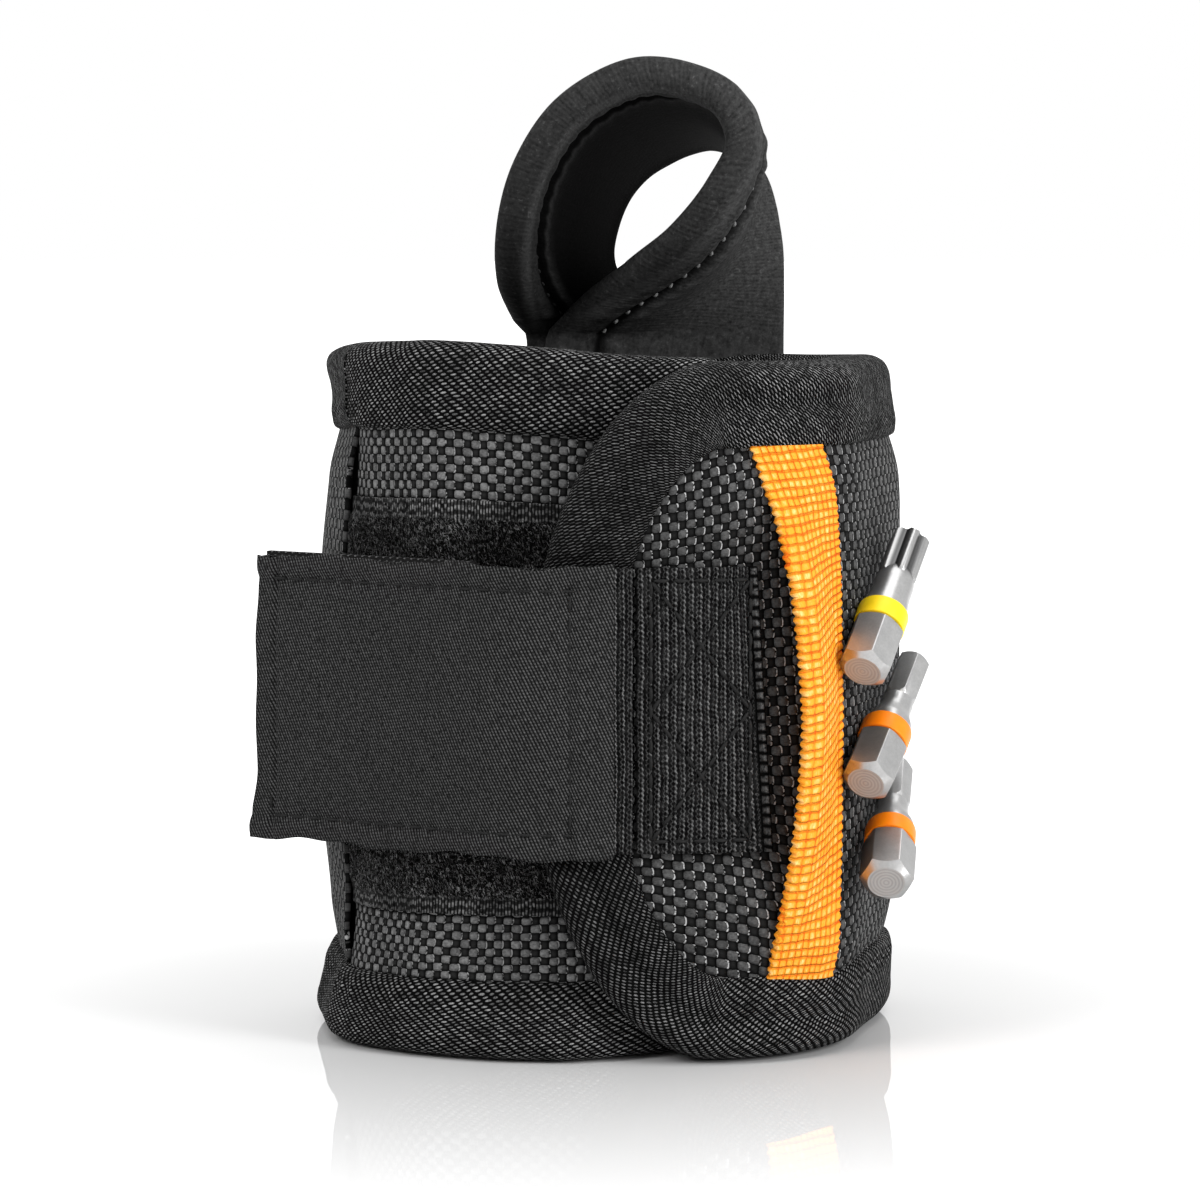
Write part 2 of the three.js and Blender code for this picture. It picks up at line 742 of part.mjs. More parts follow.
// Where the moving parts turn and slide, for whoever poses them
const shift = group.position;
group.userData.axes = {
  bandOpen: band.at(hingeReach, lipTop, 0).add(shift),
  strapPeel: band.at(strapRootEnd + strapFoldGap / 2, strapRootOut + seatGap, midHeight).add(shift),
  thumbLoop: new THREE.Vector3(loopRootX, loopRootDepth, loopBase + loopAxisRise).add(shift),
  bitSides: bits.map((bit) => bit.side),
};

export default group;
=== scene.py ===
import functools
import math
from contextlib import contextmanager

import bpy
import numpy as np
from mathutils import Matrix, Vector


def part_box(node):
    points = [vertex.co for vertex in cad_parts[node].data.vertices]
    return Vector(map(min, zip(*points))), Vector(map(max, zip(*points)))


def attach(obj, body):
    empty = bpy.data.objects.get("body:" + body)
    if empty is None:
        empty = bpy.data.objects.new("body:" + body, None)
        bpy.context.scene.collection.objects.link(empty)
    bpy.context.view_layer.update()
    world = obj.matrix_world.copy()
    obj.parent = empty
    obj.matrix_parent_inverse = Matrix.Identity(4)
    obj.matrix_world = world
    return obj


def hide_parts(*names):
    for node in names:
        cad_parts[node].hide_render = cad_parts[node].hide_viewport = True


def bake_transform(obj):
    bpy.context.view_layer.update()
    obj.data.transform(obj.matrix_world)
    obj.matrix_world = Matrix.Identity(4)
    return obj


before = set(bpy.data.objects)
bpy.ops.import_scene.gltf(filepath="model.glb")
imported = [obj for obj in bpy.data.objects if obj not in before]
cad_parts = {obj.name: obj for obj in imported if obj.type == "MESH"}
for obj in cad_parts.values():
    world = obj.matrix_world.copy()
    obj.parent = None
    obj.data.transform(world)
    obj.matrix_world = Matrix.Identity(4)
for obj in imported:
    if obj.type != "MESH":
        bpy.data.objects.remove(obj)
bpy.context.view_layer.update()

# %% [markdown]
# # A magnetic wristband in cloth
# The wristband is a long padded strip that is sewn flat and then closed into a ring.
# This script works the same way. Each piece of cloth is modelled flat, in the plane of
# the pattern table, and is then wound on the plan of the ring. A vertex of a flat piece
# has x along the band, y into the band and z up the band, so the weave can be drawn in
# millimetres of real cloth before anything is bent.

MM = 0.001
WELD = 0.01 * MM


def deselect():
    if bpy.context.object and bpy.context.object.mode != "OBJECT":
        bpy.ops.object.mode_set(mode="OBJECT")
    bpy.ops.object.select_all(action="DESELECT")


def pick(obj):
    deselect()
    obj.select_set(True)
    bpy.context.view_layer.objects.active = obj


@contextmanager
def editing(obj):
    """Edit mode with the whole mesh selected, and back to object mode."""
    pick(obj)
    bpy.ops.object.mode_set(mode="EDIT")
    bpy.ops.mesh.select_all(action="SELECT")
    yield
    bpy.ops.object.mode_set(mode="OBJECT")


def add_object(name, data):
    obj = bpy.data.objects.new(name, data)
    bpy.context.scene.collection.objects.link(obj)
    return obj

# %% [markdown]
# ## Camera
# The photograph looks at the closure from the front, from a little above the band, with
# a long lens. The band's top is almost edge on and its bottom curves down towards the
# viewer, and that gives the height: 120 mm above the table, 650 mm away.

# %% Camera
RING_WIDTH = 81
RING_DEPTH = 64
BAND_HEIGHT = 91
CAMERA_AWAY = 650
CAMERA_UP = 120
CAMERA_LEFT = 1.5
FOCAL_PIXELS = 4825
FRAME_PIXELS = 1200
HORIZON_PIXEL = 135.9
SENSOR = 36

camera_data = bpy.data.cameras.new("camera")
camera_data.sensor_width = SENSOR
camera_data.lens = FOCAL_PIXELS / FRAME_PIXELS * SENSOR
camera_data.clip_start = 0.05
camera = add_object("camera", camera_data)
camera_pitch = math.atan((FRAME_PIXELS / 2 - HORIZON_PIXEL) / FOCAL_PIXELS)
camera.location = (0, -CAMERA_AWAY * MM, CAMERA_UP * MM)
camera.rotation_euler = (math.pi / 2 - camera_pitch, 0, 0)
bpy.context.scene.camera = camera
print("camera looks down by", round(math.degrees(camera_pitch), 2), "degrees")

# %% [markdown]
# ## The plan of the ring
# Seen from above, the ring is not a true ellipse: it is flat at the front left, where the
# closure lies, and has a tighter corner beside the orange ribbon. A few points give that
# plan, as shares of half its width and depth, and a smooth spline joins them. The inner
# end of the band lies one layer further in, below the tongue, and comes out to the ring
# on the left side.

# %% The plan and the two layers
PLAN_SHARES = [
    (0.0, -1.0), (-0.25, -0.985), (-0.5, -0.945), (-0.77, -0.84), (-0.945, -0.6),
    (-1.0, -0.24), (-0.985, 0.16), (-0.865, 0.54), (-0.6, 0.83), (-0.2, 0.99),
    (0.25, 0.985), (0.6, 0.88), (0.84, 0.67), (0.95, 0.36), (0.93, 0.02),
    (0.855, -0.3), (0.74, -0.62), (0.54, -0.87), (0.27, -0.98),
]
LIP_TOP = 1.1
LAYER_PITCH = 7.7
RAMP_START, RAMP_END = 33, 84
INNER_REACH = 21
TONGUE_REACH = 11.4
TONGUE_ROUND = 26
HINGE_FROM_FRONT = 83
BINDING_WIDTH = 11
MID = BAND_HEIGHT / 2


def hermite(p0, p1, p2, p3, t):
    """One stretch of a centripetal Catmull-Rom spline."""
    gaps = (np.linalg.norm(b - a) for a, b in ((p0, p1), (p1, p2), (p2, p3)))
    d0, d1, d2 = (max(gap ** 0.5, 1e-9) for gap in gaps)
    m1 = ((p1 - p0) / d0 - (p2 - p0) / (d0 + d1) + (p2 - p1) / d1) * d1
    m2 = ((p2 - p1) / d1 - (p3 - p1) / (d1 + d2) + (p3 - p2) / d2) * d1
    t = t[:, None]
    return ((2 * t**3 - 3 * t**2 + 1) * p1 + (t**3 - 2 * t**2 + t) * m1
            + (3 * t**2 - 2 * t**3) * p2 + (t**3 - t**2) * m2)


def spline(points, closed, per_stretch=60):
    points = np.array(points, float)
    count = len(points)
    rows = []
    t = np.linspace(0, 1, per_stretch, endpoint=False)
    for i in range(count if closed else count - 1):
        if closed:
            p0, p1, p2, p3 = (points[(i + k) % count] for k in (-1, 0, 1, 2))
        else:
            p1, p2 = points[i], points[i + 1]
            p0 = points[i - 1] if i else 2 * p1 - p2
            p3 = points[i + 2] if i + 2 < count else 2 * p2 - p1
        rows.append(hermite(p0, p1, p2, p3, t))
    rows.append(points[:1] if closed else points[-1:])
    return np.vstack(rows)


def lengths(points):
    """How far along a line each of its points lies."""
    return np.concatenate([[0], np.cumsum(np.linalg.norm(np.diff(points, axis=0), axis=1))])


def unit(vectors):
    return vectors / np.linalg.norm(vectors, axis=1)[:, None]


def walk(places, run, points):
    """The points at places along a line whose own points lie at run."""
    return np.stack([np.interp(places, run, column) for column in points.T], axis=-1)


def smooth(value, low, high):
    share = np.clip((value - low) / (high - low), 0, 1)
    return share * share * (3 - 2 * share)


plan = spline([(x * RING_WIDTH / 2, y * RING_DEPTH / 2) for x, y in PLAN_SHARES], True)
plan_reach = lengths(plan)
GIRTH = plan_reach[-1]
HINGE = GIRTH - HINGE_FROM_FRONT
TIP = GIRTH + TONGUE_REACH
print("girth of the ring", round(GIRTH, 1), "mm")


class Route:
    """A line in plan, walked so that the outside of the ring is on the right-hand side."""

    def __init__(self, start, end, points):
        self.reach = np.linspace(start, end, len(points))
        self.points = points
        along = unit(np.gradient(points, axis=0))
        self.sides = np.stack([-along[:, 1], along[:, 0]], axis=1)

    def at(self, reach, out):
        x, y, nx, ny = (np.interp(reach, self.reach, column) for column in
                        (*self.points.T, *self.sides.T))
        return x + nx * out, y + ny * out

    def spots(self, reach, out, height):
        """Points in millimetres, with the ring where the frame holds it."""
        x, y = self.at(reach, out)
        return np.stack([x + SHIFT[0], y + SHIFT[1], height], axis=-1)


def band_route():
    reach = np.arange(-INNER_REACH - 2, TIP + 6, 0.5)
    points = walk(np.mod(reach, GIRTH), plan_reach, plan)
    bare = Route(reach[0], reach[-1], points)
    inset = LAYER_PITCH * (1 - smooth(reach, RAMP_START, RAMP_END))
    return Route(reach[0], reach[-1], points - bare.sides * inset[:, None])


band = band_route()
if band.at(0, 1)[1] > band.at(0, 0)[1]:
    band.sides *= -1

# The CAD model stands with the middle of its box over the origin, so the ring is moved
# by what separates the cover's left and back faces here and there.
cad_low, cad_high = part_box("cover_back")
left_edge, _ = band.at(np.linspace(20, 150, 400), 0)
_, back_edge = band.at(np.linspace(90, HINGE, 400), 0)
SHIFT = (cad_low.x / MM - left_edge.min(), cad_high.y / MM - back_edge.max())
camera.location.x = (SHIFT[0] - CAMERA_LEFT) * MM
print("ring moved by", [round(v, 2) for v in SHIFT], "mm")


def half_height(reach, inset):
    """Half the tongue's height at a reach, drawn in by an inset."""
    share = np.clip((reach - (TIP - TONGUE_ROUND)) / (TONGUE_ROUND - inset), 0, 1)
    return (MID - inset) * np.sqrt(np.maximum(1 - share**2, 0.0))

# %% [markdown]
# ## Cloth helpers
# A flat cloth starts as a grid primitive, stood upright and stretched to its size. Its UV
# map keeps the flat millimetres, so every weave has the right scale and follows the cloth
# round the ring. `wind` then bends the flat piece on a route, and Solidify gives it its
# thickness.

# %% Cloth helpers
def new_grid(name, columns, rows):
    """A flat upright grid whose outer face looks along -Y, one unit wide and high."""
    deselect()
    bpy.ops.mesh.primitive_grid_add(x_subdivisions=columns, y_subdivisions=rows, size=1,
                                    rotation=(math.pi / 2, 0, 0))
    obj = bpy.context.object
    obj.name = obj.data.name = name
    bpy.ops.object.transform_apply(location=True, rotation=True, scale=True)
    return obj


def coords(obj):
    flat = np.empty(len(obj.data.vertices) * 3)
    obj.data.vertices.foreach_get("co", flat)
    return flat.reshape(-1, 3)


def set_coords(obj, points):
    obj.data.vertices.foreach_set("co", np.ascontiguousarray(points, float).ravel())
    obj.data.update()


def set_uv(obj, u, v, name="cloth"):
    """Writes one UV per vertex, in millimetres of cloth."""
    layer = obj.data.uv_layers.get(name) or obj.data.uv_layers.new(name=name)
    index = np.empty(len(obj.data.loops), int)
    obj.data.loops.foreach_get("vertex_index", index)
    layer.data.foreach_set("uv", np.stack([u[index], v[index]], axis=1).ravel())


def apply_modifiers(obj):
    pick(obj)
    for modifier in list(obj.modifiers):
        bpy.ops.object.modifier_apply(modifier=modifier.name)
    return obj


def thicken(obj, thick):
    """Cloth thickness, grown inwards from the outer face."""
    modifier = obj.modifiers.new("thick", "SOLIDIFY")
    modifier.thickness = thick * MM
    modifier.offset = -1
    return apply_modifiers(obj)


def finish_piece(obj, material, body, replaces=(), angle=None):
    """Shades a piece, gives it its material, hides the CAD parts it stands for and sets what it
    rides on.
    """
    pick(obj)
    if angle:
        bpy.ops.object.shade_smooth_by_angle(angle=math.radians(angle))
    else:
        bpy.ops.object.shade_smooth()
    obj.data.materials.clear()
    obj.data.materials.append(material)
    if replaces:
        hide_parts(*replaces)
    if body:
        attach(obj, body)
    print(obj.name, "has", len(obj.data.polygons), "faces and rides on", body or "a blend")
    return obj


# The rim of a soft band isn't level: the inner end stands a little prouder at the front
# left and the back sags. Rise of the rim over 91 mm, by reach.
RIM_REACH = [-21, -10, 0, 7, 16, 26, 38, 50, 60, 72, 84, 150, 180, 215, 246]
RIM_RISE = [0.2, 0.3, 0.7, 1.4, 2.0, 2.5, 2.2, 1.9, 1.1, 0.0, -1.0, -1.4, -0.3, 0.1, 0.0]
rim_places = np.arange(-40.0, 270.0, 1.0)
rim_rises = np.convolve(np.pad(np.interp(rim_places, RIM_REACH, RIM_RISE), 6, mode="edge"),
                        np.hanning(13) / np.hanning(13).sum(), mode="valid")


# The foot of the inner end flares towards the viewer, less and less to the left.
FOOT_REACH = [-14, -8, 0, 6, 14, 20, 26, 32, 40, 48, 58, 70, 84, 100]
FOOT_LEAN = [0, 1.0, 5.2, 7.4, 7.2, 6.2, 4.8, 3.8, 3.8, 3.4, 1.6, 0.6, 0.2, 0]


def settle(reach, out, height):
    """How the soft band slumps: its rim rises and falls, and its faces lean at rim and foot."""
    rise = np.interp(reach, rim_places, rim_rises) * smooth(height, 55, 84)
    inner_end = 1 - smooth(reach, 45, 75)
    beside_ribbon = np.exp(-(((reach - GIRTH + 31) / 8) ** 2))
    seam_drop = 1.3 * inner_end + 1.1 * beside_ribbon
    seam_drop = seam_drop * smooth(height, 1, 9) * (1 - smooth(height, 22, 48))
    lean = np.interp(reach, FOOT_REACH, FOOT_LEAN) * 1.1 * (1 - smooth(height, -6, 26))
    # the right side is drawn in at both edges by its binding, the left side at its rim
    right = smooth(reach, GIRTH - 84, GIRTH - 66) * (1 - smooth(reach, GIRTH - 50, GIRTH - 30))
    left = smooth(reach, 40, 58) * (1 - smooth(reach, 84, 110))
    lean -= right * (2.1 * smooth(height, 70, 90) + 1.5 * (1 - smooth(height, 9, 24)))
    lean -= left * 1.5 * smooth(height, 60, 80) * (1 - 0.7 * smooth(height, 84, 90))
    lean -= left * 1.5 * smooth(height, 1, 10) * (1 - smooth(height, 13, 30))
    return out + lean, height + rise - seam_drop


def wind(obj, route, reach, out, height):
    """Places the vertices of a flat piece by reach, out and height in millimetres."""
    if route is band:
        out, height = settle(reach, out, height)
    set_coords(obj, route.spots(reach, out, height) * MM)


def ripple(a, b, scale, seed):
    """Soft unevenness of sewn cloth, from a few sine waves in random directions."""
    source = np.random.default_rng(seed)
    total = np.zeros_like(a, dtype=float)
    for _ in range(6):
        angle, phase = source.uniform(0, math.tau, 2)
        size = scale * source.uniform(0.6, 1.6)
        total += np.sin((a * math.cos(angle) + b * math.sin(angle)) / size + phase)
    return total / 6

# %% [markdown]
# ## Shader maths
# A weave is a formula of the flat millimetres. Written with nodes it would be hard to
# read, so a small class wraps a socket and turns plain sums into Math nodes. Whole
# cloths then fit in a few lines.

# %% Shader maths
def combine(tree, operation, *items):
    """A Math node on numbers and on values that vary."""
    node = tree.nodes.new("ShaderNodeMath")
    node.operation = operation
    for slot, item in zip(node.inputs, items):
        if isinstance(item, Value):
            tree.links.new(item.socket, slot)
        else:
            slot.default_value = item
    return Value(tree, node.outputs[0])


class Value:
    """A number that varies over a surface, as the output of a node."""

    def __init__(self, tree, socket):
        self.tree = tree
        self.socket = socket

    def math(self, operation, *others):
        return combine(self.tree, operation, self, *others)

    def __add__(self, other): return self.math("ADD", other)
    def __radd__(self, other): return self.math("ADD", other)
    def __sub__(self, other): return self.math("SUBTRACT", other)
    def __rsub__(self, other): return combine(self.tree, "SUBTRACT", other, self)
    def __mul__(self, other): return self.math("MULTIPLY", other)
    def __rmul__(self, other): return self.math("MULTIPLY", other)
    def __truediv__(self, other): return self.math("DIVIDE", other)
    def __pow__(self, other): return self.math("POWER", other)
    def __gt__(self, other): return self.math("GREATER_THAN", other)
    def floor(self): return self.math("FLOOR")
    def fract(self): return self.math("FRACT")
    def sin(self): return self.math("SINE")
    def wave(self): return self.sin() * 0.5 + 0.5
    def abs(self): return self.math("ABSOLUTE")
    def odd(self): return self.math("FLOORED_MODULO", 2)
    def high(self, other): return self.math("MAXIMUM", other)
    def low(self, other): return self.math("MINIMUM", other)
    def clamp(self): return self.high(0.0).low(1.0)

    def ramp(self, start, end):
        """0 below start, 1 above end, smooth between."""
        share = ((self - start) * (1.0 / (end - start))).clamp()
        return share * share * (3 - share * 2)

# %% Cloth shader
class Cloth:
    """A Principled material with the coordinates of the cloth at hand."""

    def __init__(self, name, roughness, specular=0.4, metallic=0.0):
        self.material = bpy.data.materials.new(name)
        self.material.use_nodes = True
        self.tree = self.material.node_tree
        self.shader = self.tree.nodes["Principled BSDF"]
        self.shader.inputs["Roughness"].default_value = roughness
        self.shader.inputs["Metallic"].default_value = metallic
        self.shader.inputs["Specular IOR Level"].default_value = specular

    def value(self, kind, settings=None, output=0, **sockets):
        """One output of a new node, whose sockets get numbers, colours or values."""
        node = self.tree.nodes.new(kind)
        for key, item in (settings or {}).items():
            setattr(node, key, item)
        for key, item in sockets.items():
            if isinstance(item, Value):
                self.tree.links.new(item.socket, node.inputs[key])
            else:
                node.inputs[key].default_value = item
        return Value(self.tree, node.outputs[output])

    def flat(self, layer="cloth"):
        """The cloth's own millimetres, along and up."""
        uv = self.value("ShaderNodeUVMap", {"uv_map": layer})
        along = self.value("ShaderNodeSeparateXYZ", Vector=uv)
        return along, Value(self.tree, along.socket.node.outputs[1])

    @functools.cached_property
    def place(self):
        """The point of the piece that is shaded, as a vector."""
        return self.value("ShaderNodeTexCoord", output="Object")

    def noise(self, scale, detail=2.0, roughness=0.5):
        return self.value("ShaderNodeTexNoise", Vector=self.place, Scale=scale, Detail=detail,
                          Roughness=roughness)

    def spot(self, u, v):
        return self.value("ShaderNodeCombineXYZ", X=u, Y=v)

    def drawn_noise(self, u, v, detail=2.0, distortion=0.0):
        """Noise on two numbers, so that it can be drawn out one way into streaks."""
        return self.value("ShaderNodeTexNoise", Vector=self.spot(u, v), Scale=1.0,
                          Detail=detail, Distortion=distortion)

    def chance(self, u, v):
        """A random number for each whole pair of u and v."""
        return self.value("ShaderNodeTexWhiteNoise", {"noise_dimensions": "2D"},
                          Vector=self.spot(u, v))

    def mix(self, factor, first, second):
        """Two colours by a factor; each may be a colour or the result of a mix."""
        node = self.tree.nodes.new("ShaderNodeMix")
        node.data_type = "RGBA"
        for index, item in ((0, factor), (6, first), (7, second)):
            if isinstance(item, Value):
                self.tree.links.new(item.socket, node.inputs[index])
            else:
                node.inputs[index].default_value = item
        return Value(self.tree, node.outputs[2])

    def feed(self, name, value):
        self.tree.links.new(value.socket, self.shader.inputs[name])

    def colour(self, value):
        self.feed("Base Color", value)

    def roughness(self, value):
        self.feed("Roughness", value)

    def bump(self, height, depth):
        """Height runs from 0 to 1, depth is what that is in millimetres."""
        self.feed("Normal", self.value("ShaderNodeBump", Strength=1.0, Distance=depth * MM,
                                       Height=height))


def grey(level):
    return (level, level, level, 1.0)


def thread_dome(cell):
    """The rounded top of a thread across one cell, from the cell's 0 to 1 place."""
    centred = (cell - 0.5) * 2
    return 1 - centred * centred

# %% [markdown]
# ## The nylon cover
# The cover is a coarse plain weave of flat nylon yarn. Light catches the yarns that run
# along the band, and the ones that run up it stay dark, so from a step away it reads as
# a checkerboard of cells a little over a millimetre in size.

# %% Nylon weave
def nylon_material(name, light, dark, cell_along, cell_up, glint, fan=False):
    cloth = Cloth(name, 0.55, specular=0.03)
    x, z = cloth.flat()
    wave = cloth.noise(60) - 0.5
    jitter = cloth.noise(420, 1.0) - 0.5
    if fan:
        # beside the strap's root the rows spread like a fan
        away = ((x + (GIRTH - 4)) * 0.05).clamp() * 20
        rows = z - (z - MID) * away * 0.0062
        x = x + (z - MID) * away * 0.004
    else:
        rows = z
    b = rows / cell_up + wave * 0.7 - jitter * 0.3
    up, row = b.fract(), b.floor()
    a = x / cell_along + wave * 0.7 + jitter * 0.3 + row.odd()
    share = (a * 0.5).fract()
    luck = cloth.chance(a.floor(), row)
    # rounded weft pillows, dark hollows between them that show the warp, and a painted highlight on
    # the right and upper rim of every pillow
    level = 1 - ((share - 0.25) * 3.75).abs() ** 3 - ((up - 0.5) * 1.95).abs() ** 3
    lit = level.ramp(-0.15, 0.3)
    hollow = 1 - ((share - 0.75) * 5).abs() ** 2
    warp = hollow.clamp() * thread_dome(up).clamp()
    strands = cloth.drawn_noise(x * 2.2, z * 9, 2.0)
    speck = cloth.noise(2300)
    yarn = 0.42 + strands.ramp(0.3, 0.7) * 0.3 + speck.ramp(0.4, 0.62) * 0.3
    tone = lit * yarn * (0.65 + luck * 0.5)
    rim = level.ramp(-1.3, -0.5) * (1 - level.ramp(-0.1, 0.12)) * (share + up * 0.12).ramp(0.4, 0.5)
    rim = (rim * (1 - (share - 0.05).ramp(0.53, 0.62)) * speck.ramp(0.42, 0.56)).clamp()
    base = cloth.mix(warp * (0.1 + strands), grey(0.0012), dark)
    base = cloth.mix(tone.clamp(), base, light)
    # painted highlight: the rim is mixed towards grey 0.5, as strong as the glint asks
    cloth.colour(cloth.mix((rim * glint).clamp(), base, grey(0.5)))
    cloth.roughness(0.66 - lit * 0.16 + speck * 0.1)
    cloth.bump(level.clamp() * 0.7 + lit * 0.3 + warp * 0.3 + rim * 0.3 + strands * lit * 0.1, 0.4)
    return cloth.material


# painted light and shade: one cover nylon in two copies, brighter on the inner end and a darker
# copy on the shell round the back and the tongue
nylon = nylon_material("nylon_weave", grey(0.22), grey(0.03), 1.24, 1.02, 0.6)
shaded_nylon_tongue = nylon_material("shaded_nylon_weave_tongue", grey(0.105), grey(0.02), 1.2, 1.13, 0.9, True)

# %% [markdown]
# ## The knit binding
# The binding is a puffy tape of textured polyester yarn. Up close it is black with small
# slanted glints on a twill lattice, whose rows run at a slope along the tape.

# %% Knit binding
def knit_material(name, light, dark, column, row, depth, slope, turn=None):
    """Rows run at a slope along the tape, mirrored past the turn if there is one."""
    cloth = Cloth(name, 0.8, specular=0.02)
    x, z = cloth.flat()
    wander = (cloth.noise(55) - 0.5) * 2.2
    jitter = (cloth.noise(700, 1.0) - 0.5) * 0.75
    run = (x - turn).abs() if turn else x
    level = (z + run * slope) / row + wander + jitter
    line = level.floor()
    up = level.fract() - 0.5
    across = x / column + line * 0.5 + up * math.copysign(0.75, -slope) + wander + jitter
    along = across.fract() - 0.5
    dash = (1 - (along * along * 6.0 + up * up * 7.5)).clamp()
    luck = cloth.chance(across.floor(), line)
    speck = cloth.noise(2700, 3.0, 0.75)
    patchy_tone = cloth.noise(120)
    if turn:
        # painted shade: the glints are dimmed round the end of the tongue, where the tape turns
        # down
        patchy_tone = patchy_tone * (0.25 + run.ramp(22, 72) * 0.9)
    shine = dash.ramp(0.05, 0.8) * (0.3 + luck * 0.8) * (speck * 3.2 - 0.85).clamp()
    shine = shine * (0.38 + patchy_tone * 1.25)
    cloth.colour(cloth.mix(shine.clamp(), dark, light))
    cloth.roughness(0.9 - shine.clamp() * 0.3)
    cloth.bump(dash * 0.8 + speck * 0.45, depth)
    return cloth.material


lining_knit = knit_material("lining_knit", grey(0.05), grey(0.006), 0.7, 0.5, 0.15, 0.3)

# %% [markdown]
# ## Covers and lining
# The outer cover runs from the crease at the left, round the back and the right side, to
# the round tongue. The foam behind it lifts it between the bindings, so it is puffed by a
# millimetre or so, except where the strap is stitched down flat. The inner end with the
# loop panel is a piece of its own from the crease on, because the tongue turns away from
# it when the band is opened.

# %% How the foam lifts the cover
CREASE = 49.0
EDGE_INSET = 2.1
PUFF = 1.5
STRAP_LOW, STRAP_HIGH = 27.7, 64.7
STRAP_ROOT_END = GIRTH - 3.2
STRAP_ROOT_START = STRAP_ROOT_END - 16.5


def edge_distance(reach, height):
    """Distance from the band's edge, with the round end of the tongue."""
    flat = MID - np.abs(height - MID)
    share = np.clip((reach - (TIP - TONGUE_ROUND)) / TONGUE_ROUND, 0, 0.999)
    radial = np.sqrt(share**2 + ((height - MID) / MID) ** 2)
    slope = np.sqrt((share / TONGUE_ROUND) ** 2 + ((height - MID) / MID**2) ** 2)
    slope = slope / np.maximum(radial, 1e-6)
    return np.minimum(flat, (1 - radial) / np.maximum(slope, 1e-6))


def under_strap(height, fade):
    """1 at the heights of the strap, and less over the millimetres of fade beside it."""
    return smooth(height, STRAP_LOW - fade, STRAP_LOW) * (
        1 - smooth(height, STRAP_HIGH, STRAP_HIGH + fade))


def puff_at(reach, height):
    """The cover's rise between the bindings; it lies flat at the strap's root and the bits."""
    lift = smooth(edge_distance(reach, height), BINDING_WIDTH - 3, BINDING_WIDTH + 6)
    sewn = under_strap(height, 7) * smooth(reach, STRAP_ROOT_START - 7, STRAP_ROOT_START + 1)
    bits = np.exp(-(((reach - GIRTH + 50) / 15) ** 2)) * smooth(height, 8, 20)
    bits = bits * (1 - smooth(height, 72, 86))
    uneven = 0.35 * ripple(reach, height, 6, 3)
    return (PUFF * lift + uneven * lift) * (1 - sewn) * (1 - 0.95 * bits)


back_puff = puff_at(np.array([120.0]), np.array([MID]))[0]
print("cover rises", round(float(back_puff), 1), "mm at the back")

# %% Cover and lining pieces
COVER, FOAM, LINING = (0.0, -0.7), (-1.0, -4.0), (-4.3, -5.0)
SHELL_END = TIP - EDGE_INSET
INNER_END = -INNER_REACH + EDGE_INSET
OVERLAP = 0.2
FOAM_CELL = 3.0


def band_cloth(name, start, end, rounded, depths, puff=0, cell=1.4):
    """A layer of the band between two reaches, from its outer to its inner depth."""
    outer, inner = depths
    obj = new_grid(name, int((end - start) / cell), int(BAND_HEIGHT / cell))
    across, _, up = coords(obj).T
    reach = start + (0.5 - across) * (end - start)
    half = np.maximum(half_height(reach, EDGE_INSET), 3.0) if rounded else MID - EDGE_INSET
    height = MID + up * 2 * half
    set_uv(obj, -reach, height)
    lift = puff * puff_at(reach, height) if puff else 0
    wind(obj, band, reach, outer + lift + 0.15 * ripple(reach, height, 8, 5), height)
    return thicken(obj, outer - inner)


cover_shell = band_cloth("cover_shell", CREASE, SHELL_END, True, COVER, 1.0)
cover_inner_end = band_cloth("cover_inner_end", INNER_END, CREASE + OVERLAP, False, COVER)
foam_core = band_cloth("foam_core", CREASE, SHELL_END - 1, True, FOAM, 0.3, FOAM_CELL)
foam_inner_end = band_cloth("foam_inner_end", INNER_END, CREASE, False, FOAM, 0, FOAM_CELL)
lining_shell = band_cloth("lining_shell", CREASE, SHELL_END, True, LINING)
lining_inner_end = band_cloth("lining_inner_end", INNER_END, CREASE + OVERLAP, False, LINING)

# %% [markdown]
# When the tongue is opened, the band bends at the back right. The cover, foam and lining run
# through there in one piece, so none of them rides on a body.

# %% Weave and bodies of the layers
foam_cloth = Cloth("foam", 0.9)
foam_speck = foam_cloth.noise(900, 3.0)
foam_cloth.colour(foam_cloth.mix(foam_speck, grey(0.02), grey(0.05)))
foam_cloth.bump(foam_speck, 0.2)


def cross_hinge(obj):
    """Cloth that runs from the back to the tongue, over the opening hinge; its placement is baked
    into its mesh.
    """
    x, y = band.at(HINGE, LIP_TOP)
    centre = Vector((x + SHIFT[0], y + SHIFT[1], 0)) * MM
    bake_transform(obj)


finish_piece(cover_shell, shaded_nylon_tongue, None, ["cover_tongue", "cover_back"])
finish_piece(foam_core, foam_cloth.material, None, ["foam_tongue", "foam_back"])
finish_piece(lining_shell, lining_knit, None, ["lining_tongue", "lining_back"])
for piece in (cover_shell, foam_core, lining_shell):
    cross_hinge(piece)
finish_piece(cover_inner_end, nylon, "band")
finish_piece(foam_inner_end, foam_cloth.material, "band")
finish_piece(lining_inner_end, lining_knit, "band")

# %% [markdown]
# ## Binding
# The binding is one strip of tape, folded over the edge of the band and stitched through.
# It is modelled so: a long grid that follows the outline, folded by a profile of depth
# against distance from the edge. The profile has the soft roll at the edge, a shallow
# valley beside it, and a full lip that is pulled down at its stitching.

# %% Binding strips
# Distance from the edge and height over the cover, from the outer lip round to the inner
BINDING_PROFILE = [
    (11.2, 0.15), (10.7, 0.85), (9.4, 1.2), (7.4, 1.3), (5.6, 1.25), (4.6, 1.2), (3.4, 1.2),
    (2.0, 1.0), (0.8, 0.35), (0.15, -0.9), (0.0, -2.5), (0.15, -4.1), (0.8, -5.5), (2.0, -6.0),
    (4.6, -6.1), (7.4, -6.1), (9.2, -6.05), (10.6, -5.7), (11.2, -5.1),
]


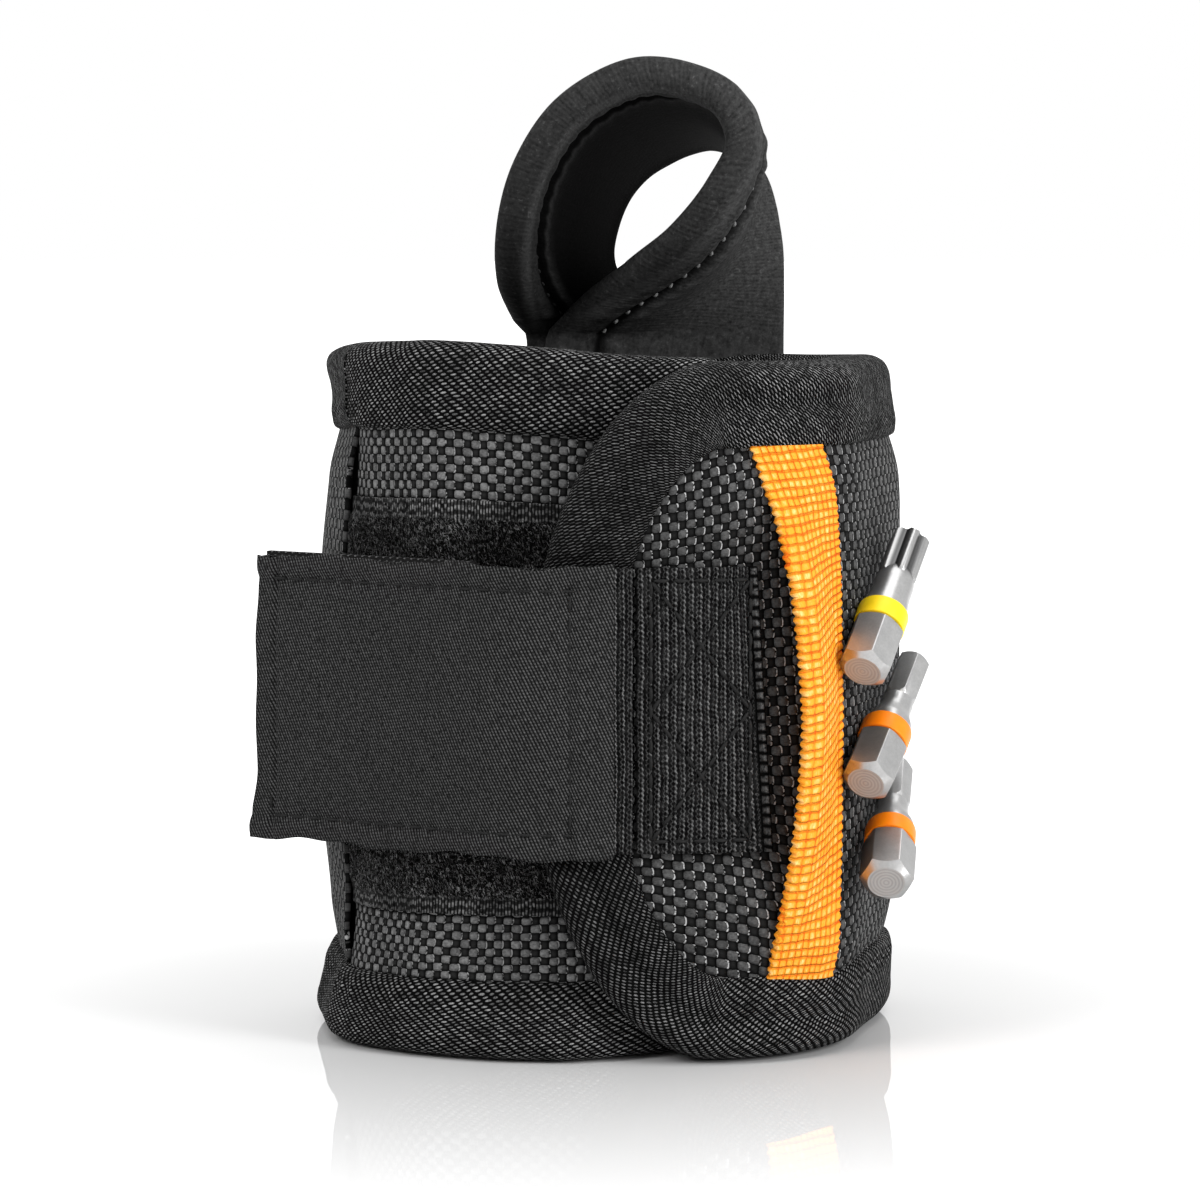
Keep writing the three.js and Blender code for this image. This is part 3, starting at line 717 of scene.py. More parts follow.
def tongue_outline(start, step=1.1):
    """Reach and height along the edge: top from start to the tip and back below."""
    theta = np.linspace(0, math.pi / 2, 200)
    centre = TIP - TONGUE_ROUND
    straight = np.arange(start, centre, 2.0)
    reach = np.concatenate([straight, centre + TONGUE_ROUND * np.sin(theta)])
    height = np.concatenate([np.full(len(straight), BAND_HEIGHT), MID + MID * np.cos(theta)])
    top = np.stack([reach, height], axis=1)
    low = np.stack([reach, BAND_HEIGHT - height], axis=1)[::-1][1:]
    return resample(np.vstack([top, low]), step)


def resample(path, step):
    run = lengths(path)
    return walk(np.linspace(0, run[-1], int(run[-1] / step) + 1), run, path)


BINDING_PUFF = 1.25
TAPE_THICK = 0.55


def binding_strip(name, path, seed):
    """Tape folded over the edge that path follows, as points of reach and height."""
    profile = spline(BINDING_PROFILE, False, 3)
    along = unit(np.gradient(path, axis=0))
    inward = np.stack([along[:, 1], -along[:, 0]], axis=1)
    run = lengths(path)
    obj = new_grid(name, len(path) - 1, len(profile) - 1)
    points = coords(obj)
    i = np.rint((points[:, 0] + 0.5) * (len(path) - 1)).astype(int)
    j = np.rint((0.5 - points[:, 2]) * (len(profile) - 1)).astype(int)
    tape = lengths(profile)[j]
    distance, out = profile[j].T
    pucker = 0.16 * np.sin(run[i] * math.tau / 3.4) * np.exp(-((distance - 8.8) / 1.2) ** 2)
    uneven = 0.5 * ripple(run[i], tape, 5, seed) * smooth(distance, 0, 3)
    uneven = uneven * (1 - smooth(distance, 9, 11))
    spot = path[i] + inward[i] * distance[:, None]
    reach, height = spot.T
    ridge = smooth(reach, GIRTH - 48, GIRTH - 24) * (
        0.55 * np.exp(-(((distance - 2.3) / 1.5) ** 2))
        - 0.85 * np.exp(-(((distance - 5.6) / 1.1) ** 2)))
    pressed = 1 - 0.5 * under_strap(height, 3) * smooth(reach, GIRTH - 10, GIRTH)
    outer = out * np.where(out > 0, BINDING_PUFF, 1) + uneven + ridge
    outer = outer * np.where(out > 0, pressed, 1) + pucker
    out = np.where(out > -2.5, outer, out - pucker)
    set_uv(obj, run[i], tape)
    wind(obj, band, reach, out, height)
    # the two rims meet between the layers, and the tape gets its thickness
    with editing(obj):
        bpy.ops.mesh.remove_doubles(threshold=WELD)
    return thicken(obj, TAPE_THICK)

# %% Binding round the tongue
main_edge = tongue_outline(CREASE)
binding_knit = knit_material("binding_knit", grey(0.32), grey(0.0025), 0.72, 0.55, 0.3, 0.75,
                             lengths(main_edge)[-1] / 2)
inner_knit = knit_material("inner_binding_knit", grey(0.34), grey(0.0025), 0.88, 0.6, 0.3, 0.5)
binding_main = binding_strip("binding_main", main_edge, 11)
finish_piece(binding_main, binding_knit, None,
             ["binding_tongue", "binding_back_top", "binding_back_bottom"])
cross_hinge(binding_main)

# %% Binding round the inner end
INNER_CORNER = 7.0
quarter = np.linspace(0, math.pi / 2, 12)
corner_reach = -INNER_REACH + INNER_CORNER - INNER_CORNER * np.sin(quarter)
corner_height = BAND_HEIGHT - INNER_CORNER + INNER_CORNER * np.cos(quarter)
straight = np.linspace(CREASE + OVERLAP, -INNER_REACH + INNER_CORNER, 60)
inner_top = np.vstack([
    np.stack([straight, np.full(60, float(BAND_HEIGHT))], axis=1),
    np.stack([corner_reach, corner_height], axis=1)[1:],
])
inner_low = np.stack([inner_top[:, 0], BAND_HEIGHT - inner_top[:, 1]], axis=1)[::-1]
inner_edge = resample(np.vstack([inner_top, inner_low]), 1.1)[::-1]
binding_inner = binding_strip("binding_inner", inner_edge, 12)
finish_piece(binding_inner, inner_knit, "band", ["binding_inner_end"])
print("binding tape", round(lengths(main_edge)[-1]), "mm and", round(lengths(inner_edge)[-1]), "mm")

# %% [markdown]
# ## Loop panel
# The soft half of the closure is a brushed pile on a woven ground. The pile is short and
# tangled and takes the light as a fine grain, and the two selvedges are woven tape with
# bright specks, held by a row of stitches.

# %% Loop panel
PANEL_LOW, PANEL_HIGH = 19.6, 71.4
PANEL_START, PANEL_END = -INNER_REACH + 13.5, CREASE - 0.6
SELVEDGE = 2.2


def loop_pile_material():
    cloth = Cloth("loop_pile", 0.95, specular=0.01)
    x, z = cloth.flat()
    edge = (z - PANEL_LOW).low(PANEL_HIGH - z)
    fray = cloth.noise(300) - 0.5
    selvedge = 1 - (edge + fray * 0.6).ramp(SELVEDGE - 0.4, SELVEDGE + 0.2)
    clump = cloth.noise(170, 3.0, 0.6)
    hairs = cloth.drawn_noise(x * 5.5 + z * 2, z * 1.6, 3.0, 1.5).ramp(0.53, 0.66)
    hairs = hairs.high(cloth.drawn_noise(x * 1.5 - z, z * 5.0 + x, 3.0, 1.5).ramp(0.58, 0.7))
    speck = cloth.noise(2100)
    pile = (hairs * (speck * 3.2 - 0.8) * (0.35 + clump * 1.1)).clamp()
    # painted light and shade: the pile is lighter below the strap than above it
    painted_light_below_shade_above = 1.25 - z.ramp(PANEL_LOW + 10, PANEL_HIGH - 10) * 0.5
    dark = cloth.mix((pile * painted_light_below_shade_above).clamp(), grey(0.0012), grey(0.36))
    cord = x / 0.46 + fray * 0.8
    stripes = thread_dome(cord.fract())
    beats = (z * (math.tau / 1.1) + cloth.chance(cord.floor(), cord.floor() * 3) * 3.4).wave()
    patchy_tone = cloth.noise(130).ramp(0.36, 0.6)
    woven = stripes.ramp(0.35, 0.95) * (0.15 + beats.ramp(0.2, 0.8) * 0.85)
    woven = woven * (speck * 3.6 - 1.1).clamp() * (0.35 + patchy_tone * 0.4)
    tape = cloth.mix(woven.clamp(), grey(0.0025), grey(0.3))
    cloth.colour(cloth.mix(selvedge, dark, tape))
    cloth.bump(selvedge * woven * 0.5 + (1 - selvedge) * (hairs * 0.6 + clump * 0.6), 0.3)
    return cloth.material


def panel_piece():
    long = PANEL_END - PANEL_START
    obj = new_grid("loop_pile_panel", int(long), 60)
    across, _, up = coords(obj).T
    reach = PANEL_START + (0.5 - across) * long
    height = (PANEL_LOW + PANEL_HIGH) / 2 + up * (PANEL_HIGH - PANEL_LOW)
    edge = np.minimum(height - PANEL_LOW, PANEL_HIGH - height)
    out = 0.65 + 0.55 * smooth(edge, SELVEDGE - 0.6, SELVEDGE + 1.0)
    set_uv(obj, -reach, height)
    wind(obj, band, reach, out + 0.12 * ripple(reach, height, 3, 8), height)
    return thicken(obj, 0.5)


loop_panel = finish_piece(panel_piece(), loop_pile_material(), "band", ["loop_panel"])

# %% [markdown]
# ## Closure strap
# The strap leaves the tongue, passes over its round end and comes down on the loop panel
# almost straight, so its free end stands off the left side of the ring. A route of five
# points gives that line. The elastic carries hook tape behind and a twill patch in front,
# which is folded round the end and stitched along its borders.

# %% Strap route
STRAP_FREE = 20
STRAP_CONTACT = 34


def strap_route():
    def spot(reach, out):
        return np.array(band.at(reach, out))
    contact = spot(STRAP_CONTACT, 2.9)
    tip_over = spot(TIP, 1.4)
    run = (contact - tip_over) / np.linalg.norm(contact - tip_over)
    points = [spot(STRAP_ROOT_END + 0.3, 1.4), spot((STRAP_ROOT_END + TIP) / 2, 1.4),
              tip_over + run * 1.2, contact, contact + run * STRAP_FREE]
    fine = resample(spline(points, False), 0.5)
    length = lengths(fine)[-1]
    route = Route(0, length, fine)
    if np.dot(route.sides[0], band.sides[-1]) < 0:
        route.sides *= -1
    return route, length


strap, STRAP_LENGTH = strap_route()
print("strap tab", round(STRAP_LENGTH, 1), "mm long")

# %% [markdown]
# The patch is a fine black twill: steep ribs that a lamp picks out as a grain. The
# elastic is ribbed along its height, with a chain of knots on every rib, and the hook
# tape is a grid of little hooks.

# %% Cloths of the strap
def twill_material():
    cloth = Cloth("patch_twill", 0.7, specular=0.05)
    x, z = cloth.flat()
    bend = cloth.noise(90) - 0.5
    rib = (x * 14.5 + z * 6.5 + bend * 3).wave()
    step = (z * 15.0 - x * 2.0 + bend * 3).wave()
    speck = cloth.noise(2600, 2.0, 0.6)
    shade = cloth.noise(40)
    lit = (rib.ramp(0.15, 0.9) * (0.3 + step * 0.7) * (speck * 3.2 - 0.75)).clamp()
    bright = cloth.mix(shade, grey(0.075), grey(0.11))
    cloth.colour(cloth.mix(lit, grey(0.004), bright))
    cloth.roughness(0.75 - lit * 0.15)
    cloth.bump(rib * 0.5 + step * 0.2 + speck * 0.5, 0.13)
    return cloth.material


ELASTIC_RIB = 1.05


def elastic_material():
    cloth = Cloth("ribbed_elastic", 0.8, specular=0.03)
    x, z = cloth.flat()
    bend = cloth.noise(110) - 0.5
    jitter = cloth.noise(700, 1.0) - 0.5
    column = x / ELASTIC_RIB + bend * 0.4
    own = cloth.chance(column.floor(), column.floor() * 2)
    phase = z * (math.tau / 0.66) + own * 6
    chain = phase.sin()
    rib = (column + jitter * 0.35).fract() - 0.5
    line = (1 - (rib + chain * 0.06).abs() * 5.0).clamp()
    knots = (phase + 1.2 + jitter * 2).wave()
    speck = cloth.noise(2200)
    haze = (cloth.noise(900) - 0.42).clamp()
    thin = (column + jitter * 0.5 + 0.42).fract() - 0.5 - chain * 0.1
    thin = (1 - thin.abs() * 8).clamp() * 0.22
    lit = (line.ramp(0.1, 0.7) * (0.3 + knots * 0.7) + thin) * (speck * 3.4 - 0.9)
    lit = (lit + haze * 0.15).clamp()
    # the selvedge beside the ribbon shows the picks as beads
    edge = (x + STRAP_ROOT_START) * -1.0
    bead = thread_dome((edge / 1.2).clamp()).ramp(0.1, 0.6)
    bead = bead * thread_dome((z / 1.35 + jitter * 0.3).fract()).ramp(0.3, 0.8)
    lit = lit * edge.ramp(1.2, 1.6) + bead * (speck * 3.4 - 0.9).clamp() * (0.2 + own * 0.3)
    cloth.colour(cloth.mix(lit, grey(0.0012), grey(0.24)))
    cloth.bump(line * 0.7 + knots * line * 0.4 + thin * 0.4 + bead * 1.3 + speck * 0.2, 0.5)
    return cloth.material


def hook_material():
    cloth = Cloth("hook_tape", 0.6, specular=0.05)
    x, z = cloth.flat()
    a = (x * (math.tau / 1.1)).sin() * (z * (math.tau / 1.1)).sin()
    peak = a.ramp(0.2, 0.8)
    cloth.colour(cloth.mix(peak, grey(0.006), grey(0.11)))
    cloth.bump(peak, 0.7)
    return cloth.material


patch_twill = twill_material()
elastic = elastic_material()

# %% Layers of the strap
PATCH_START, PATCH_END = 2.6, STRAP_LENGTH
PATCH_LOW, PATCH_HIGH = STRAP_LOW - 0.5, STRAP_HIGH + 0.3
PATCH_BORDER = 3.1
PATCH_FOLDS = (PATCH_START + 5.6, PATCH_END - 3.4)


def patch_wave(reach, share):
    """The patch's long edges are pulled in between their stitches."""
    top = 0.35 * np.sin(reach * 0.32 + 0.6) + 0.18 * np.sin(reach * 0.9)
    low = 0.3 * np.sin(reach * 0.27 + 2.0) + 0.15 * np.sin(reach * 0.8 + 1)
    return np.where(share > 0, top * (2 * share) ** 2, low * (2 * share) ** 2)


def patch_relief(reach, height):
    """Borders puffed outside the stitch line, a dip along it, and a fold near each end."""
    edge = np.minimum(height - PATCH_LOW, PATCH_HIGH - height)
    dip = -0.32 * np.exp(-((edge - PATCH_BORDER) / 0.55) ** 2)
    dip = dip * (0.65 + 0.35 * np.sin(reach * math.tau / 2.6))
    hem = 0.22 * np.exp(-((edge - 1.5) / 1.1) ** 2)
    folds = sum(-0.4 * np.exp(-((reach - place) / 0.5) ** 2) for place in PATCH_FOLDS)
    return dip + hem + folds + 0.5 * smooth(edge, PATCH_BORDER, 12)


def strap_cloth(name, start, end, low, high, out, thick, cell=1.2, wave=0.0, seed=0, patch=False):
    """A layer of the strap between two places of its route and two heights."""
    obj = new_grid(name, int((end - start) / cell), int((high - low) / cell))
    across, _, up = coords(obj).T
    reach = start + (0.5 - across) * (end - start)
    height = (low + high) / 2 + up * (high - low)
    level = out + wave * ripple(reach, height, 5, seed) - 1.2 * (1 - smooth(reach, 0, 4.5))
    if patch:
        level = level + patch_relief(reach, height)
        height = height + patch_wave(reach, up)
        # the free edge isn't quite square, and waves
        cut = 1.5 * smooth(up, -0.5, -0.25) + 0.2 * up + 0.1 * np.sin(height * 0.55)
        reach = reach - cut * smooth(reach, end - 9, end)
    set_uv(obj, -reach - STRAP_ROOT_END, height)
    wind(obj, strap, reach, level, height)
    return thicken(obj, thick)


strap_elastic = strap_cloth("strap_band", 0.2, STRAP_LENGTH - 1.7, STRAP_LOW, STRAP_HIGH, 1.2, 1.1)
finish_piece(strap_elastic, elastic, "strap", ["strap_elastic"])
hook_piece = strap_cloth("strap_hooks", STRAP_LENGTH - 34, STRAP_LENGTH - 1.5, STRAP_LOW + 0.4,
                         STRAP_HIGH + 0.5, -0.2, 1.0, wave=0.1, seed=31)
finish_piece(hook_piece, hook_material(), "strap", ["strap_hook_tape"])
patch_piece = strap_cloth("strap_patch_cloth", PATCH_START, PATCH_END, PATCH_LOW, PATCH_HIGH,
                          2.0, 0.6, 0.5, 0.12, 41, True)
finish_piece(patch_piece, patch_twill, "strap", ["strap_patch"])

# %% [markdown]
# The strap's root is sewn flat on the tongue with a box and a cross in its two halves. The
# thread pulls the elastic down, so the root dips along those lines.

# %% Root of the strap
BOX_LEFT, BOX_RIGHT = STRAP_ROOT_END - 1.8, STRAP_ROOT_START + 2.0
BOX_LOW, BOX_HIGH = STRAP_LOW + 1.6, STRAP_HIGH - 1.6


def box_lines():
    """The stitched box with its crosses, as lines of reach and height."""
    corners = [(BOX_LEFT, BOX_LOW), (BOX_RIGHT, BOX_LOW),
               (BOX_RIGHT, BOX_HIGH), (BOX_LEFT, BOX_HIGH)]
    sides = [(corners[i], corners[(i + 1) % 4]) for i in range(4)]
    middle = (BOX_LOW + BOX_HIGH) / 2
    return sides + [((BOX_LEFT, BOX_LOW), (BOX_RIGHT, middle)),
                    ((BOX_RIGHT, BOX_LOW), (BOX_LEFT, middle)),
                    ((BOX_LEFT, middle), (BOX_RIGHT, BOX_HIGH)),
                    ((BOX_RIGHT, middle), (BOX_LEFT, BOX_HIGH))]


def box_stitch_dip(reach, height):
    dip = np.zeros_like(reach)
    for a, b in np.array(box_lines()):
        run = b - a
        share = ((reach - a[0]) * run[0] + (height - a[1]) * run[1]) / run.dot(run)
        share = np.clip(share, 0, 1)
        gap = np.hypot(reach - a[0] - share * run[0], height - a[1] - share * run[1])
        dip = np.maximum(dip, np.exp(-((gap / 0.45) ** 2)))
    return dip


def root_piece():
    start, end = STRAP_ROOT_START, STRAP_ROOT_END
    obj = new_grid("strap_root_cloth", 40, 80)
    across, _, up = coords(obj).T
    reach = start + (0.5 - across) * (end - start)
    height = (STRAP_LOW + STRAP_HIGH) / 2 + up * (STRAP_HIGH - STRAP_LOW)
    set_uv(obj, -reach, height)
    reach = reach + 2.2 * up * smooth(-reach, -start - 6, -start)
    out = 1.45 + 0.12 * ripple(reach, height, 4, 17) - 0.3 * box_stitch_dip(reach, height)
    wind(obj, band, reach, out, height)
    return thicken(obj, 1.0)


root_cloth = finish_piece(root_piece(), elastic, "tongue", ["strap_root"])

# %% [markdown]
# ## Ribbon
# The orange ribbon is stiff plain-woven webbing. Both ends disappear below the binding,
# and between them it bows off the band, to slip a pencil or a tool through. Its threads
# are thick enough to see one by one, and the selvedge threads stand out as beads.

# %% Ribbon
RIBBON_WIDTH = 10.3
BOW_LEFT, BOW_RIGHT = 6.2, 0.9
RIBBON_PICK = 1.15
RIBBON_FOLD = -2.5
# where the ribbon's middle lies in front of the tongue's end, by height
RIBBON_HEIGHTS = [11, 30, 45, 63, 72, 80]
RIBBON_PLACES = [26.6, 27.2, 27.4, 26.8, 25.9, 24.0]


def ribbon_material():
    cloth = Cloth("orange_webbing", 0.6, specular=0.15)
    x, z = cloth.flat()
    drift = cloth.noise(140) - 0.5
    jitter = cloth.noise(600, 1.0) - 0.5
    bent = (1 - z.ramp(56, 76)) * z.ramp(13, 26)
    right = x > RIBBON_FOLD
    slant = 0.07 * x + right * bent * (x - RIBBON_FOLD) * 0.26
    a = (x - RIBBON_FOLD) / (0.98 + (1 - right) * bent * 0.72) + drift * 0.25 + jitter * 0.25
    b = (z - slant) / RIBBON_PICK + drift * 0.4 + jitter * 0.3
    up, across = b.fract(), a.fract()
    luck = cloth.chance(a.floor(), b.floor())
    pick_dome = thread_dome(up).ramp(0.05, 0.7)
    end_dome = thread_dome(across).ramp(0.02, 0.62)
    dome = (1 - ((up - 0.5) * 1.95).abs() ** 3 - ((across - 0.5) * 1.95).abs() ** 3).clamp()
    speck = cloth.noise(1500)
    strand = cloth.drawn_noise(x * 6.5, z * 1.3, 2.0)
    deep = (0.93, 0.14, 0.002, 1.0)
    body = (1.0, 0.36, 0.02, 1.0)
    pale = (1.0, 0.78, 0.33, 1.0)
    shade = dome * 0.95 + (strand - 0.5) * 0.9 + (speck - 0.5) * 0.4 + (luck - 0.5) * 0.3
    shade = shade - x.ramp(4.2, 5.1) * 0.35
    lower = cloth.mix(shade.ramp(-0.15, 0.45), deep, body)
    cloth.colour(cloth.mix(shade.ramp(0.7, 1.55), lower, pale))
    cloth.bump(pick_dome * 0.5 + end_dome * pick_dome * 0.5 + strand * 0.2, 0.34)
    return cloth.material

# %% Ribbon piece
RIBBON_LOW, RIBBON_HIGH = BINDING_WIDTH - 1.2, BAND_HEIGHT - BINDING_WIDTH + 1.2


def ribbon_piece():
    obj = new_grid("ribbon_webbing", 34, 240)
    share, _, up = coords(obj).T
    height = RIBBON_LOW + (up + 0.5) * (RIBBON_HIGH - RIBBON_LOW)
    middle = GIRTH - np.interp(height, RIBBON_HEIGHTS, RIBBON_PLACES)
    bead = np.abs(np.sin(height * math.pi / RIBBON_PICK))
    rim = smooth(np.abs(share), 0.43, 0.5)
    free = np.clip((height - BINDING_WIDTH) / (BAND_HEIGHT - 2 * BINDING_WIDTH), 0, 1)
    arch = np.sin(math.pi * free) ** 0.8
    across = share * RIBBON_WIDTH
    reach = middle + 0.6 * (1 - arch) - across * (1 - 0.08 * arch)
    reach = reach - np.sign(share) * rim * 0.5 * bead
    bow = (BOW_LEFT + BOW_RIGHT) / 2 - share * (BOW_LEFT - BOW_RIGHT)
    crease = 0.55 * np.exp(-np.abs(across - RIBBON_FOLD) / 1.6) * arch
    out = 0.4 + bow * arch + crease + 0.18 * rim * bead + 0.12 * ripple(reach, height, 3, 23)
    out = np.maximum(out, puff_at(reach, height) + 0.5)
    set_uv(obj, across, height)
    wind(obj, band, reach, out, height)
    return thicken(obj, 0.9)


ribbon_cloth = finish_piece(ribbon_piece(), ribbon_material(), "tongue", ["ribbon"])

# %% [markdown]
# ## Thumb loop
# The thumb loop is a strip of smooth jersey sewn in the back's top edge. It rises, turns
# over and comes back, so its near edge is a wide opening and its far edge a smaller one.
# Two splines hold the two edges, and the strip is a tube of flat section between them:
# fat at the rolled hem, thin in the middle. The hem is sewn down by a seam that puckers.

# %% Thumb loop
LOOP_ROOT = np.array([7.6, 27.27, BAND_HEIGHT + 0.85])
LOOP_SIZE = np.array([38, 31, 36.3])
LOOP_COUNT = 220
LOOP_HEM = 2.5
LOOP_FLAT = 1.0
SEAM_FRONT, SEAM_BACK = 4.7, 5.0
LOOP_TUCK = 5.0
NEAR_EDGE_SHARES = [
    (-0.391, -0.054, 0), (-0.248, -0.196, 0.153), (-0.086, -0.364, 0.277),
    (0.067, -0.541, 0.41), (0.193, -0.66, 0.585), (0.261, -0.725, 0.761),
    (0.202, -0.754, 0.907), (0.05, -0.76, 0.984), (-0.095, -0.76, 0.999),
    (-0.24, -0.744, 0.944), (-0.378, -0.718, 0.834), (-0.495, -0.664, 0.636),
    (-0.547, -0.58, 0.429), (-0.55, -0.38, 0.225), (-0.499, -0.086, 0.078),
    (-0.437, 0.053, 0),
]
FAR_EDGE_SHARES = [
    (0.438, -0.041, 0), (0.44, 0.014, 0.204), (0.43, 0.088, 0.373), (0.4, 0.153, 0.513),
    (0.35, 0.201, 0.631), (0.27, 0.23, 0.708), (0.183, 0.246, 0.738), (0.1, 0.249, 0.723),
    (0.016, 0.249, 0.685), (-0.067, 0.246, 0.631), (-0.139, 0.23, 0.543), (-0.185, 0.214, 0.425),
    (-0.2, 0.191, 0.303), (-0.151, 0.172, 0.204), (-0.008, 0.12, 0.094), (0.293, 0.053, 0),
]


def loop_edge(shares):
    fine = spline(LOOP_ROOT + np.array(shares) * LOOP_SIZE, False, 40)
    return walk(np.linspace(0, len(fine) - 1, LOOP_COUNT), np.arange(len(fine)), fine)


def loop_seam(share):
    """How far the seam runs from the near edge, a little more where it crosses in front."""
    return SEAM_FRONT + (SEAM_BACK - SEAM_FRONT) * smooth(share, 0.3, 0.5)


def loop_section(width, seam):
    """Closed section: round near edge, puffed hem channel, thin strip, small far roll."""
    tip = np.radians(np.linspace(90, 270, 15))
    near = np.stack([LOOP_HEM * np.cos(tip), LOOP_HEM * np.sin(tip)], axis=1)
    run = np.concatenate([np.linspace(0.5, seam + 1, 20), np.linspace(seam + 2, width - 1.4, 14)])
    half = LOOP_FLAT + (LOOP_HEM - LOOP_FLAT) * (1 - smooth(run, 1.2, seam + 0.4)) ** 0.8
    end = np.radians(np.linspace(-90, 90, 7))[1:-1]
    low = np.stack([run, -half], axis=1)
    round_end = np.stack([width - 1.3 + 1.3 * np.cos(end), 1.3 * np.sin(end)], axis=1)
    high = np.stack([run[::-1], half[::-1]], axis=1)
    return np.vstack([near, low, round_end, high])


def jersey_material():
    cloth = Cloth("jersey", 0.75, specular=0.025)
    x, z = cloth.flat()
    inside, painted_seam_shade = cloth.flat("shade")
    bend = cloth.noise(70) - 0.5
    wales = (x * (math.tau / 0.5) + z * 1.3 + bend * 5).wave()
    painted_crest_highlight = thread_dome(((z + bend * 1.2 + 1.6) / 3.4).clamp()).ramp(0.2, 1.0)
    hair = cloth.drawn_noise(x * 2.6 + bend * 2, z * 1.1, 3.0, 0.6)
    speck = cloth.noise(1700, 3.0, 0.7)
    fluff = speck.ramp(0.6, 0.72)
    shade = cloth.noise(45)
    lit = (0.42 + (wales - 0.5) * 0.1 + (hair - 0.5) * 0.7 + (speck - 0.5) * 1.1).clamp()
    # painted light: the jersey is lighter over the first 20 to 70 mm of its run, where the loop
    # crosses in front
    painted_front_light = (1 - x.ramp(20, 70)) * 0.6
    body = cloth.mix(lit, grey(0.008), cloth.mix(shade * 0.4 + painted_front_light, grey(0.03), grey(0.085)))
    # bright fluff specks, and a painted highlight along the crest of the rolled hem
    body = cloth.mix((fluff * 0.3 + painted_crest_highlight * hair * 0.34).clamp(), body, grey(0.13))
    # painted shade: the inner face of the loop is made almost black
    body = cloth.mix(inside.clamp(), body, cloth.mix(lit, grey(0.0008), grey(0.003)))
    # painted highlight on the crest past the seam, and painted shade in the seam's groove
    body = cloth.mix(((painted_seam_shade * -1.0).clamp() * hair).clamp(), body, grey(0.11))
    cloth.colour(cloth.mix(painted_seam_shade.clamp(), body, grey(0.002)))
    cloth.roughness(0.72 + speck * 0.1)
    cloth.bump(wales * 0.12 + hair * 0.4 + speck * 0.5, 0.14)
    return cloth.material

# %% [markdown]
# The seam of the hem is a row of puckers with a crest beside it. Where the loop crosses in front of
# itself the hem stands out in a wide flare, and the crest casts the shade. The jersey's colour also
# has painted shade in the seam's groove and a painted highlight on the crest.

# %% Shape of the hem
def loop_frame():
    """The near edge with the ways across and off the strip, its width, run and seam."""
    near, far = loop_edge(NEAR_EDGE_SHARES), loop_edge(FAR_EDGE_SHARES)
    middle = (near + far) / 2
    along = unit(np.gradient(middle, axis=0))
    across = unit(far - near)
    share = np.linspace(0, 1, LOOP_COUNT)
    return (near, across, unit(np.cross(along, across)), np.linalg.norm(far - near, axis=1),
            lengths(middle), share, loop_seam(share))


def loop_pucker(w, run, seam):
    """Depth of the pucker that the seam pulls in the cloth, at w from the near edge."""
    line = np.exp(-(((w - seam) / 0.7) ** 2))
    hem = smooth(w, 0.5, 2.5) * (1 - smooth(w, seam - 0.6, seam + 0.4))
    past = np.exp(-(((w - seam - 1.7) / 1.0) ** 2))
    wave = np.sin(run * math.tau / 2.2 + 0.9 * np.sin(run * 0.7))
    return -0.75 * line * (0.85 + 0.15 * wave) + 0.1 * hem * wave + past * (0.3 + 0.16 * wave)


def loop_swell(w, share, seam):
    """Where the loop crosses in front, its hem flares outwards up to the seam's crest."""
    crossing = smooth(share, -0.05, 0.07) * (1 - smooth(share, 0.2, 0.56))
    return 3.5 * crossing * smooth(w, -2.6, seam + 2.4) * (1 - smooth(w, seam + 2.8, seam + 13))

# %% Thumb loop piece
def thumb_loop_piece():
    near, across, normal, width, run, share, seam = loop_frame()
    sections = np.stack([loop_section(w, s) for w, s in zip(width, seam)])
    size = sections.shape[1]
    obj = new_grid("thumb_loop_strip", LOOP_COUNT - 1, size)
    points = coords(obj)
    i = np.rint((points[:, 0] + 0.5) * (LOOP_COUNT - 1)).astype(int)
    j = np.rint((points[:, 2] + 0.5) * size).astype(int) % size
    w, n = sections[i, j].T
    share, seam = share[i], seam[i]
    pinch = 0.5 + 0.5 * smooth(np.minimum(share * 2, 1 - share), 0, 0.11)
    side = np.where(n >= 0, 1.0, -1.0)
    n = n * pinch + side * loop_pucker(w, run[i], seam) * pinch
    n = n + 0.25 * ripple(w, run[i], 7, 51) * pinch
    n = n - np.where(side < 0, 1.0, 0.6) * loop_swell(w, share, seam)
    place = near[i] + across[i] * w[:, None] + normal[i] * n[:, None] + (*SHIFT, 0)
    place[:, 2] -= LOOP_TUCK * smooth(1 - np.minimum(share, 1 - share) / 0.012, 0, 1)
    set_uv(obj, run[i], np.where(j <= size // 2, w, w + 0.4))
    # painted shade in the seam's groove, less a painted highlight on the crest past it, for the
    # jersey's colour
    painted_seam_shade = 0.95 * np.exp(-(((w - seam) / 0.75) ** 2))
    painted_crest_highlight = 0.6 * np.exp(-(((w - seam - 2.5) / 0.6) ** 2))
    # painted shade for the jersey: 1 on the inner face of the loop
    inside = smooth(n, -0.5, 0.8) * smooth(w, seam - 5.0, seam + 1.5)
    set_uv(obj, inside, painted_seam_shade - painted_crest_highlight, "shade")
    set_coords(obj, place * MM)
    with editing(obj):
        bpy.ops.mesh.remove_doubles(threshold=WELD)
        bpy.ops.mesh.select_all(action="DESELECT")
        bpy.ops.mesh.select_non_manifold()
        bpy.ops.mesh.edge_face_add()
        bpy.ops.mesh.select_all(action="SELECT")
        bpy.ops.mesh.normals_make_consistent(inside=False)
    return obj


jersey = jersey_material()
thumb_loop = thumb_loop_piece()
finish_piece(thumb_loop, jersey, None, ["thumb_loop"])
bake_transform(thumb_loop)

# %% [markdown]
# ## Stitches
# Each stitch is one short bead of thread that dips in the cloth at both ends. It is
# modelled once as a small sphere drawn long, and copied along every seam.

